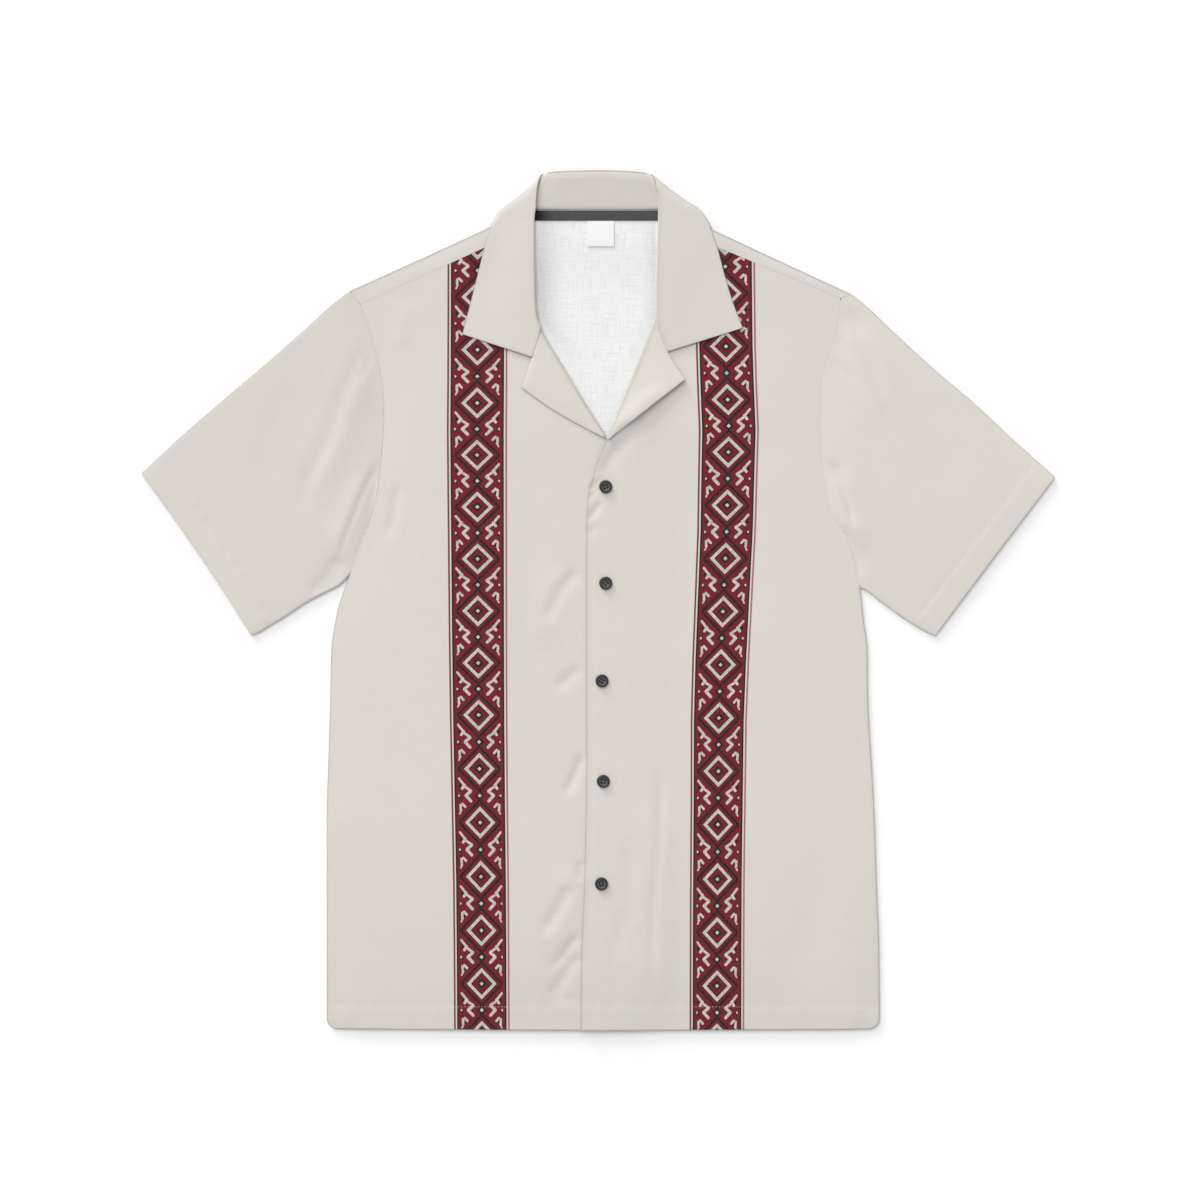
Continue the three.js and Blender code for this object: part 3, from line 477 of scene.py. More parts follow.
def left_front_middle(x, y):
    lap = LAP_LAYER * (1 - smooth(x, *LAP_X)) * (1 - smooth(y, *LAP_Y))
    return front_middle(x, y) + lap + crease_height(x, y, LEFT_FRONT_CREASES)


def back_laid(x, y):
    """The back's own middle: the base plus the faint ridges of its hidden face."""
    along = smooth(y, HEM_Y + 4, HEM_Y + 40) * (1 - smooth(y, 250, 290))
    ridges = crease_height(x, y, BACK_CREASES) + 0.06 + 0.5 * ripple(x, y)
    return back_middle(x, y) + smooth(from_sides(x, y), 4, 30) * along * ridges


def hem_rise(x, y):
    return HEM_RISE * (1 - smooth(y, HEM_Y + 4, HEM_Y + 75)) * smooth(from_sides(x, y), 0, 26)


def sewn(height):
    """A panel's height with the step and puckers of its turned-up hem."""
    return lambda x, y: height(x, y) + HEM_STEP * hem_share(y) + hem_pucker(x, y) + hem_rise(x, y)


# Meshes
def unit(v):
    return v / np.maximum(np.linalg.norm(v, axis=-1, keepdims=True), 1e-12)


class Mesh:
    """Points, faces, one material number a face, and values on the points."""

    def __init__(self):
        self.points, self.faces, self.kinds, self.uv, self.band, self.hem, self.edge = ([] for _ in range(7))
        self.count = 0

    def add(self, points, faces, kinds, uv=None, band=None, hem=None, edge=None):
        points = np.asarray(points, float)
        n = len(points)
        self.points.append(points)
        self.faces.extend([[self.count + i for i in f] for f in faces])
        self.kinds.extend(kinds)
        self.uv.append(points[:, :2] if uv is None else np.asarray(uv, float))
        self.band.append(np.zeros((n, 2)) if band is None else np.asarray(band, float))
        self.hem.append(np.zeros(n) if hem is None else np.asarray(hem, float))
        self.edge.append(np.zeros(n) if edge is None else np.asarray(edge, float))
        self.count += n

    def join(self, other):
        values = [np.concatenate(v) for v in (other.points, other.uv, other.band, other.hem, other.edge)]
        self.add(values[0], other.faces, other.kinds, *values[1:])

    def build(self, name, materials, sharp=42.0):
        points = np.concatenate(self.points) * MM + SHIFT
        mesh = bpy.data.meshes.new(name)
        mesh.from_pydata(points.tolist(), [], self.faces)
        corner = np.zeros(len(mesh.loops), np.int32)
        mesh.loops.foreach_get("vertex_index", corner)
        for layer, values in (("cloth", self.uv), ("band", self.band)):
            data = np.concatenate(values).astype(np.float32)
            mesh.uv_layers.new(name=layer).data.foreach_set("uv", data[corner].ravel())
        # edge holds the painted shade of each point
        for layer, values in (("hem", self.hem), ("edge", self.edge)):
            data = mesh.attributes.new(layer, "FLOAT", "POINT").data
            data.foreach_set("value", np.concatenate(values).astype(np.float32))
        for material in materials:
            mesh.materials.append(material)
        mesh.polygons.foreach_set("material_index", np.array(self.kinds, np.int32))
        mesh.shade_smooth()
        mesh.set_sharp_from_angle(angle=math.radians(sharp))
        mesh.validate()
        piece = bpy.data.objects.new(name, mesh)
        SCENE.collection.objects.link(piece)
        return piece


# A free rim's rounding, in shares of the cloth's thickness
RIM_HALF, RIM_BACK, RIM_BULGE = 0.36, 0.16, 0.1


def shell(rows, exists=None, closed=False, thick=THICK, kinds=None, uv=None, band=None, hem=None, fold=None,
          seam=None, rim_shade=1.0):
    """A cloth shell from a grid of middle points. kinds gives the two faces' materials a cell, fold
    how much painted shade a pressed fold's points get, seam the points that meet another piece, whose rim
    is kept square, and rim_shade how much painted shade the free rims get."""
    down, across = rows.shape[:2]
    cells = across if closed else across - 1
    nxt = (np.arange(cells) + 1) % across
    here = np.arange(cells)
    exists = np.ones((down - 1, cells), bool) if exists is None else exists
    a, b = rows[:-1][:, here], rows[:-1][:, nxt]
    c, d = rows[1:][:, nxt], rows[1:][:, here]
    facing = unit(np.cross(c - a, d - b)) * exists[..., None]
    normals, used = np.zeros_like(rows), np.zeros(rows.shape[:2], bool)
    for dj in (0, 1):
        for columns in (here, nxt):
            np.add.at(normals, (slice(dj, down - 1 + dj), columns), facing)
            part = used[dj : down - 1 + dj]
            part[:, columns] |= exists
    normals = unit(normals)
    index = np.full((down, across), -1)
    index[used] = np.arange(used.sum())
    middle, n = rows[used], normals[used]
    count = len(middle)
    quads = np.stack([index[:-1][:, here], index[:-1][:, nxt], index[1:][:, nxt], index[1:][:, here]], -1)
    top = quads[exists]
    kinds = np.zeros((2, down - 1, cells), int) if kinds is None else kinds
    front_kind, rear_kind = kinds[0][exists], kinds[1][exists]
    # boundary edges: those used once
    directed = np.concatenate([top[:, [k, (k + 1) % 4]] for k in range(4)])
    owner = np.tile(np.arange(len(top)), 4)
    key = np.sort(directed, axis=1)
    _, first, uses = np.unique(key[:, 0] * count + key[:, 1], return_index=True, return_counts=True)
    rim = first[uses == 1]
    edges, rim_kind = directed[rim], front_kind[owner[rim]]
    # a rounded rim: the faces stop a little short and a middle line bulges out
    away = np.zeros_like(middle)
    run = unit(middle[edges[:, 1]] - middle[edges[:, 0]])
    outward = unit(np.cross(run, (n[edges[:, 0]] + n[edges[:, 1]]) / 2))
    np.add.at(away, edges[:, 0], outward)
    np.add.at(away, edges[:, 1], outward)
    away = unit(away)
    on_rim = np.zeros(count, bool)
    on_rim[edges.ravel()] = True
    joined = np.zeros(count, bool) if seam is None else seam[used]
    half = np.where(on_rim & ~joined, RIM_HALF, 0.5)[:, None] * thick
    back_off = np.where(on_rim & ~joined, RIM_BACK, 0)[:, None] * thick * away
    rim_ids = np.flatnonzero(on_rim)
    rim_index = np.full(count, -1)
    rim_index[rim_ids] = np.arange(len(rim_ids)) + 2 * count
    bulge = away * np.where(joined, 0, RIM_BULGE)[:, None] * thick
    points = np.concatenate([
        middle + n * half - back_off,
        middle - n * half - back_off,
        middle[rim_ids] + bulge[rim_ids],
    ])
    e0, e1 = edges[:, 0], edges[:, 1]
    upper = np.stack([e1, e0, rim_index[e0], rim_index[e1]], -1)
    lower = np.stack([rim_index[e1], rim_index[e0], e0 + count, e1 + count], -1)
    faces = np.concatenate([top, top[:, ::-1] + count, upper, lower]).tolist()
    face_kinds = np.concatenate([front_kind, rear_kind, rim_kind, rim_kind]).tolist()

    def spread(values):
        if values is None:
            return None
        flat = values[used]
        return np.concatenate([flat, flat, flat[rim_ids]])

    # painted shade: each point's edge value darkens the cloth's colour at rims, seams and pressed folds
    edge = np.where(joined, SEAM_SHADE, rim_shade) * on_rim
    edge = edge if fold is None else np.maximum(edge, fold[used])
    edge = np.concatenate([edge, edge, edge[rim_ids]])
    uv = rows[..., :2] if uv is None else uv
    mesh = Mesh()
    mesh.add(points, faces, face_kinds, spread(uv), spread(band), spread(hem), edge)
    return mesh


def arc_turn(at, out, radius, base, degrees):
    """A point carried round a turn of cloth that starts flat at height base."""
    angle = np.radians(degrees)
    flat = at + out * (radius * np.sin(angle))[..., None]
    return np.concatenate([flat, (base + radius * (1 - np.cos(angle)))[..., None]], -1)


def lay(plan, height):
    return np.concatenate([plan, height(plan[..., 0], plan[..., 1])[..., None]], -1)


# Printed band: its centre line, as heights and the x at each
BAND_CENTRE = {
    "r": ([-395, -321, -257, -183, -109, -36, 38, 111, 157, 203, 330],
          [-107.3, -107.6, -108.1, -109.2, -110.2, -110.8, -111.2, -111.6, -111.8, -111.5, -111.3]),
    "l": ([-395, -321, -257, -183, -109, -54, 1, 65, 111, 157, 203, 235, 330],
          [109.0, 109.1, 109.4, 110.1, 110.7, 112.5, 115.0, 117.9, 118.9, 120.0, 118.2, 117.3, 116.4]),
}
# The band narrows towards the hem: its width at each height, as a share of its nominal width
BAND_WIDTH_Y = [-395, -257, -183, -109, -36, 38, 157, 330]
BAND_WIDTH = {
    "r": [0.950, 0.957, 0.968, 0.985, 1.0, 1.012, 1.03, 1.025],
    "l": [0.935, 0.935, 0.945, 0.960, 0.980, 0.997, 1.03, 1.025],
}
PIXEL_MM = 0.92
PHOTO_Y = 601
# The middles of the diamonds, one to a repeat, as heights in the photo
DIAMONDS = {
    "r": [349.6, 403, 455, 506.9, 558.9, 610.9, 663, 715, 768.8, 822.5, 876.7, 930.4, 983.7],
    "l": [346.3, 399.6, 452, 505.2, 558.4, 611.6, 664.8, 718, 771.2, 824.5, 879.2, 932.7, 986],
}


def band_uv(side, x, y):
    """Millimetres from the band's centre line, and repeats down from its first diamond."""
    ys, xs = BAND_CENTRE[side]
    centres = (PHOTO_Y - np.array(DIAMONDS[side])) * PIXEL_MM
    number = np.arange(len(centres), dtype=float)
    period = (centres[-1] - centres[0]) / (len(centres) - 1)
    inside = np.interp(y, centres[::-1], number[::-1])
    above = (centres[0] - y) / abs(period)
    under = number[-1] + (centres[-1] - y) / abs(period)
    along = np.where(y > centres[0], above, np.where(y < centres[-1], under, inside))
    across = (x - np.interp(y, ys, xs)) / np.interp(y, BAND_WIDTH_Y, BAND_WIDTH[side])
    return np.stack([across, along], -1)


# Pieces
def spread_anchors(anchors, steps):
    """Points between anchors (each J x 2), with a number of steps for each gap."""
    parts = []
    for a, b, n in zip(anchors, anchors[1:], steps):
        parts.append(lerp(a[:, None], b[:, None], (np.arange(n) / n)[None, :, None]))
    return np.concatenate(parts + [anchors[-1][:, None]], 1)


def inset_corner(corner, towards, along, inset):
    step = unit(towards - corner)
    depth = max(abs(step[0] * along[1] - step[1] * along[0]), LEAST_SINE)
    return corner + step * (inset / depth)


def shoulder_line(side):
    """Where the back starts to turn over a shoulder: its two ends, and the direction of the turn."""
    outer, neck = (np.array(p, float) for p in SHOULDER_FOLD[side])
    along = unit(neck - outer)
    inset = TURN_RADIUS + TURN_INSET
    outward = np.array([-abs(along[1]) * np.sign(along[0]), abs(along[0])])
    outer = inset_corner(outer, body_line(side, "Side")[-1], along, inset)
    return outer, inset_corner(neck, body_line(side, "Edge")[-1], along, inset), outward


SHOULDER_STEPS, NECK_STEPS = 46, 30
REACH_ROWS = 5
OVER_ROWS = 6
SHOULDER_DEGREES = range(0, 181, 20)


def back_panel(materials):
    steps = [SHOULDER_STEPS, NECK_STEPS, SHOULDER_STEPS]
    neck_y = BODY["neckY"]
    neck = [np.stack([np.full_like(neck_y, x), neck_y], -1) for x in (-NECK_X, NECK_X)]
    plan = spread_anchors([body_line("r", "Side"), *neck, body_line("l", "Side")], steps)
    rows = [lay(plan, back_laid)]
    (r_outer, r_neck, r_out), (l_outer, l_neck, l_out) = shoulder_line("r"), shoulder_line("l")
    fold = spread_anchors([p[None] for p in (r_outer, r_neck, l_neck, l_outer)], steps)[0]
    outward = np.where(fold[:, :1] < 0, r_out, l_out)
    columns = np.arange(len(fold))
    is_neck = (columns > SHOULDER_STEPS) & (columns < SHOULDER_STEPS + NECK_STEPS)
    fold[is_neck, 1] = NECK_SEAM_Y
    base = back_middle(fold[:, 0], fold[:, 1])
    # the panel reaches its folds and the neck seam through a few more rows
    for share in np.linspace(0, 1, REACH_ROWS + 2)[1:-1]:
        rows.append(lay(lerp(plan[-1], fold, share), back_middle)[None])
    flat_rows = len(plan) + REACH_ROWS
    for degrees in SHOULDER_DEGREES:
        rows.append(arc_turn(fold, outward, np.full(len(fold), TURN_RADIUS), base, degrees)[None])
    # and comes down in front to the seam, just beyond the fronts' own ends
    ends = (("r", "Side"), ("r", "Edge"), ("l", "Edge"), ("l", "Side"))
    seam = spread_anchors([body_line(*end)[-1:] + [0, 0.05] for end in ends], steps)[0]
    for share in np.linspace(0, 1, OVER_ROWS + 1)[1:]:
        line = lerp(fold, seam, share)
        over = front_middle(line[:, 0], line[:, 1])
        height = lerp(base + 2 * TURN_RADIUS, over, smooth(share, 0, 0.6))
        rows.append(np.concatenate([line, height[:, None]], -1)[None])
    grid = np.concatenate(rows)
    # painted shade along the shoulder turns
    fold = np.zeros(grid.shape[:2])
    fold[flat_rows : flat_rows + len(SHOULDER_DEGREES)] = SHOULDER_SHADE
    cells = np.arange(grid.shape[1] - 1)
    on_shoulder = (cells < SHOULDER_STEPS) | (cells >= SHOULDER_STEPS + NECK_STEPS)
    exists = np.ones((len(grid) - 1, len(cells)), bool)
    exists[flat_rows:] = on_shoulder
    kinds = np.zeros((2,) + exists.shape, int)
    kinds[0] = 1
    hem = hem_share(grid[..., 1])
    seam = np.zeros(grid.shape[:2], bool)
    seam[-1] = True
    seam[BODY_AT[ARMPIT_ROW] :, [0, -1]] = True
    return shell(grid, exists, kinds=kinds, hem=hem, fold=fold, seam=seam).build("back_cloth", materials)


FRONT_STEPS = 100
LAPEL_STEPS = 26
FACING_CELLS = 8
ROLL_DEGREES = np.arange(20, 181, 20)


def front_panel(side, name, materials):
    left = side == "l"
    middle = sewn(left_front_middle if left else front_middle)
    outward = -1 if left else 1
    start, end = BODY_AT[BREAK_ROW], BODY_AT[GORGE_ROW]
    rows = np.arange(len(SECTION))
    in_lapel = (rows >= start) & (rows <= end)
    share = (SECTION - BREAK_ROW) / (GORGE_ROW - BREAK_ROW)
    radius = np.where(in_lapel, LAPEL_ROLL * lerp(0.72, 1, smooth(share, 0, 0.5)), 0)
    side_line, edge_line = body_line(side, "Side"), body_line(side, "Edge")
    run = np.gradient(edge_line[start : end + 1], axis=0)
    turn = np.tile(np.array([outward, 0.0]), (len(rows), 1))
    turn[start : end + 1] = unit(np.stack([run[:, 1], -run[:, 0]], -1)) * outward
    edge = edge_line - turn * np.where(in_lapel, radius + TURN_INSET, 0)[:, None]
    plan = spread_anchors([side_line, edge], [FRONT_STEPS])
    panel = lay(plan, middle)
    base = middle(edge[:, 0], edge[:, 1])
    turns = [arc_turn(edge, turn, radius, base, d)[:, None] for d in ROLL_DEGREES]
    corners = np.array(LAPEL_EDGES[side], float)
    at = np.clip(SECTION - BREAK_ROW, 0, len(corners) - 1)
    free = np.stack([np.interp(at, np.arange(len(corners)), corners[:, k]) for k in (0, 1)], -1)
    lapel = []
    for w in np.arange(1, LAPEL_STEPS + 1) / LAPEL_STEPS:
        line = lerp(edge, free, w)
        lift = np.maximum(2 * radius - LAPEL_LAYER, 0) * (1 - w)
        lift += LAPEL_LIFT * 4 * w * (1 - w) * np.clip(share, 0, 1)
        height = middle(line[:, 0], line[:, 1]) + LAPEL_LAYER + lift - EDGE_DROP * w**3
        if left:
            height += LAPEL_FLARE * w**1.6 * smooth(share, 0.02, 0.3) * (1 - smooth(share, 0.7, 0.98))
        lapel.append(np.concatenate([line, height[:, None]], -1)[:, None])
    grid = np.concatenate([panel] + turns + lapel, 1)
    cells = np.arange(grid.shape[1] - 1)
    exists = np.zeros((len(grid) - 1, len(cells)), bool)
    exists[:, cells < FRONT_STEPS] = True
    exists[start:end] = True
    kinds = np.zeros((2,) + exists.shape, int)
    kinds[1] = np.where(cells < FRONT_STEPS - FACING_CELLS, 1, 2)
    kinds[0] = np.where(cells < FRONT_STEPS, 0, 2)
    band = band_uv(side, grid[..., 0], grid[..., 1])
    hem = hem_share(grid[..., 1])
    # painted shade along the lapel's roll
    fold, seam = np.zeros(grid.shape[:2]), np.zeros(grid.shape[:2], bool)
    after_roll = FRONT_STEPS + len(ROLL_DEGREES)
    fold[start:end, FRONT_STEPS + 1 : after_roll] = LAPEL_SHADE
    fold[start:end, after_roll : after_roll + len(LAPEL_FADE)] = LAPEL_FADE
    seam[-1] = True
    seam[BODY_AT[ARMPIT_ROW] :, 0] = True
    if left:
        grid, exists, kinds = grid[:, ::-1], exists[:, ::-1], kinds[:, :, ::-1]
        band, hem, fold, seam = (v[:, ::-1] for v in (band, hem, fold, seam))
    return shell(grid, exists, kinds=kinds, band=band, hem=hem, fold=fold, seam=seam).build(name, materials)


STAND_STEPS, FALL_STEPS = 6, 30
STATION_GAP = 2.6
FALL_SINK = 0.15
COLLAR_DEPTH = 92
ARC_DEGREES = np.array([-90, -60, -30, 0, 30, 60, 90])


def collar_station(row, outward, bows):
    """One section of the collar: stand, roll and fall, from the neck seam to the free edge."""
    on_top = row["fall"] > 0
    facing = np.array([outward, 0, 0]) if on_top else np.array([0, 1, 0])
    up = np.array([0, 0, 1 if on_top else -1])
    roll_x, roll_y = np.array([row["rollX"]]), np.array([row["rollY"]])
    roll_z = row["rollZ"] or front_middle(roll_x, roll_y)[0] + LAP_LAYER + NOTCH_LIFT
    centre = np.array([row["rollX"], row["rollY"], roll_z])
    if row["radius"]:
        centre = centre - facing * (row["radius"] + TURN_INSET)
    angles = np.radians(ARC_DEGREES)[:, None]
    arc = centre + facing * row["radius"] * np.cos(angles) + up * row["radius"] * np.sin(angles)
    seam_at = (np.array([row["seamX"]]), np.array([row["seamY"]]))
    seam_z = (front_middle if on_top else back_middle)(*seam_at)[0]
    seam = np.array([row["seamX"], row["seamY"], seam_z])
    edge_z = row["edgeZ"] or front_middle(np.array([row["edgeX"]]), np.array([row["edgeY"]]))[0] + LAP_LAYER
    edge = np.array([row["edgeX"], row["edgeY"], edge_z])
    stand = [lerp(seam, arc[0], k / STAND_STEPS) for k in range(STAND_STEPS)]
    begin = arc[-1]
    bow_out = unit(np.array([begin[1] - edge[1], edge[0] - begin[0], 0])) * outward
    w = np.arange(1, FALL_STEPS + 1) / FALL_STEPS
    bow = pchip([0, 0.25, 0.5, 0.75, 1], bows, w)
    fall = begin + (edge - begin) * w[:, None] - bow_out * (bow * row["bow"])[:, None]
    if row["edgeZ"] == 0:
        rest = front_middle(fall[:, 0], fall[:, 1]) + LAP_LAYER - EDGE_DROP * w**3
        fall[:, 2] = np.maximum(lerp(begin[2], edge_z - EDGE_DROP, smooth(w, 0, 1)), rest)
    return np.concatenate([np.array(stand), arc, fall])


def collar_band(materials):
    stations, radii, rests = [], [], []
    for side, outward in (("r", 1), ("l", -1)):
        rows = [dict(zip(COLLAR_COLUMNS, row)) for row in COLLAR[side]]
        lines = [collar_station(row, outward, SHOULDER_BOW[side]) for row in rows]
        flags = [(row["radius"], row["edgeZ"] == 0) for row in rows]
        if side == "l":
            lines, flags = lines[::-1], flags[::-1]
        stations += lines
        radii += [f[0] for f in flags]
        rests += [f[1] for f in flags]
    coarse = np.array(stations)
    gaps = np.linalg.norm(np.diff(coarse[:, -1], axis=0), axis=1)
    gaps = np.maximum(gaps, np.linalg.norm(np.diff(coarse[:, -FALL_STEPS], axis=0), axis=1))
    knots = np.concatenate([[0], np.cumsum(gaps)])
    steps = np.maximum(2, np.round(gaps / STATION_GAP)).astype(int)
    at = [np.linspace(a, b, n, endpoint=False) for a, b, n in zip(knots, knots[1:], steps)]
    at = np.concatenate(at + [knots[-1:]])
    interval = np.repeat(np.arange(len(steps)), steps)
    grid = pchip(knots, coarse, at)
    fall_from = STAND_STEPS + len(ARC_DEGREES) - 1
    has_stand = np.array([a > 0 and b > 0 for a, b in zip(radii, radii[1:])])
    # stand and roll are smoothed within their own runs of stations only
    first = 0
    while first < len(has_stand):
        last = first
        while last < len(has_stand) and has_stand[last]:
            last += 1
        if last > first:
            inside = (at >= knots[first]) & (at <= knots[last])
            run = slice(first, last + 1)
            grid[inside, : fall_from + 1] = pchip(knots[run], coarse[run, : fall_from + 1], at[inside])
        first = max(last, first + 1)
    resting = np.array([a and b for a, b in zip(rests, rests[1:])])[np.minimum(interval, len(steps) - 1)]
    # the fall keeps above the front that it rests on
    fall = grid[:-1][resting][:, fall_from + 1 :]
    drop = EDGE_DROP * (np.arange(1, FALL_STEPS + 1) / FALL_STEPS) ** 3
    lowest = front_middle(fall[..., 0], fall[..., 1]) + LAP_LAYER - FALL_SINK - drop
    fall[..., 2] = np.maximum(fall[..., 2], lowest)
    block = grid[:-1][:, fall_from + 1 :]
    block[resting] = fall
    exists = np.ones((len(grid) - 1, grid.shape[1] - 1), bool)
    exists[:, :fall_from] = has_stand[interval][:, None]
    fading = np.array([(a > 0) != (b > 0) for a, b in zip(radii, radii[1:])])
    exists[:, STAND_STEPS + 3 : fall_from] |= fading[interval][:, None]
    along = np.broadcast_to(at[:, None], grid.shape[:2])
    down = np.broadcast_to(np.linspace(0, COLLAR_DEPTH, grid.shape[1])[None], grid.shape[:2])
    # painted shade along the roll, on the back's roll, and where each wing turns over to the back
    fold = np.zeros(grid.shape[:2])
    fold[:, STAND_STEPS + 2 : fall_from - 1] = COLLAR_SHADE
    last = len(knots) - 1
    back_part = (at > knots[BACK_STATION]) & (at < knots[last - BACK_STATION])
    fold[back_part, STAND_STEPS + 1 : fall_from] = COLLAR_BACK_SHADE
    corner = len(COLLAR_CORNER_SHADE) - 1
    left_wing = at > knots[last - BACK_STATION + corner]
    for row, value in enumerate(COLLAR_WING_FADE, fall_from - 1):
        fold[left_wing, row] = value
    # where each wing turns over to the back
    right_corner = slice(BACK_STATION - corner, BACK_STATION + 1)
    left_corner = slice(last - BACK_STATION, last - BACK_STATION + corner + 1)
    for turned, shades in ((right_corner, COLLAR_CORNER_SHADE), (left_corner, COLLAR_CORNER_SHADE[::-1])):
        fold = np.maximum(fold, np.interp(at, knots[turned], shades, 0, 0)[:, None])
    seam = np.zeros(grid.shape[:2], bool)
    for station in (BACK_STATION, last - BACK_STATION):
        seam[np.abs(at - knots[station]) < 0.01, :fall_from] = True
    band = shell(grid, exists, uv=np.stack([along, down], -1), fold=fold, seam=seam)
    for side, outward in (("r", 1), ("l", -1)):
        band.join(stand_end(side, outward))
    return band.build("collar_cloth", materials)


def stand_end(side, outward):
    """The end of the collar's back, from its last full line to where the wing covers it."""
    row = dict(zip(COLLAR_COLUMNS, COLLAR[side][BACK_STATION]))
    shown = collar_station(row, outward, SHOULDER_BOW[side])[: STAND_STEPS + 5]
    hidden = pchip(UNDER_WING_AT, np.array(UNDER_WING[side]), np.linspace(0, 1, len(shown)))
    grid = np.stack([lerp(shown, hidden, share) for share in np.linspace(0, 1, 7)])
    seam, fold = np.zeros(grid.shape[:2], bool), np.zeros(grid.shape[:2])
    seam[0] = True
    # painted shadow, deepening towards the part that the wing covers
    fold[:] = np.linspace(*STAND_END_SHADE[side], len(grid))[:, None]
    if side == "r":
        grid, seam, fold = grid[::-1], seam[::-1], fold[::-1]
    return shell(grid, seam=seam, fold=fold)


def armhole(side, shoulder):
    """The sleeve's line along the body, from the shoulder to the armpit, a small gap away from it."""
    rows = np.arange(len(SECTION) - 1, BODY_AT[ARMPIT_ROW] - 1, -1)
    line = np.concatenate([[shoulder], body_line(side, "Side")[rows]])
    before, after = np.roll(line, 1, 0), np.roll(line, -1, 0)
    before[0], after[-1] = line[0], line[-1]
    run = after - before
    outward = 1 if side == "l" else -1
    above_armpit = np.clip((line[:, 1] - line[-1, 1]) / ARMPIT_RUN, 0, 1)
    gap = lerp(ARMPIT_GAP, SLEEVE_GAP, above_armpit)
    return line + unit(np.stack([-run[:, 1], run[:, 0]], -1)) * (outward * gap)[:, None]


SLEEVE_COLUMNS = 80
SLEEVE_ROWS = 84
TURN_STEPS = 5
DEEPEST = 0.25


def sleeve_plan(side):
    """The sleeve's outline seen from above: sections from armhole to cuff, points from fold to fold."""
    table_rows = np.array(SLEEVES[side], float)
    hole = armhole(side, table_rows[0, :2])
    gone = np.concatenate([[0], np.cumsum(np.linalg.norm(np.diff(hole, axis=0), axis=1))])
    across = np.linspace(0, 1, SLEEVE_COLUMNS + 1)
    hole = np.stack([np.interp(across, gone / gone[-1], hole[:, k]) for k in (0, 1)], -1)
    knots = np.arange(len(table_rows)) / (len(table_rows) - 1)
    s = np.linspace(0, 1, SLEEVE_ROWS + 1)
    outline = pchip(knots, table_rows, s)
    top, under, ease = outline[:, :2].copy(), outline[:, 2:4].copy(), outline[:, 4]
    top[0], under[0] = hole[0], hole[-1]
    run = under[-1] - top[-1]
    outward = 1 if side == "l" else -1
    bow = unit(np.array([-run[1], run[0]])) * outward * CUFF_BOW[side]
    w = across[:, None]
    cuff = top[-1] + run * w + bow * 4 * w * (1 - w)
    s, w = s[:, None, None], across[None, :, None]
    plan = hole[None] * (1 - s) + cuff[None] * s + top[:, None] * (1 - w) + under[:, None] * w
    plan = plan - (hole[0] * (1 - w) + hole[-1] * w) * (1 - s) - (cuff[0] * (1 - w) + cuff[-1] * w) * s
    return plan, ease, across


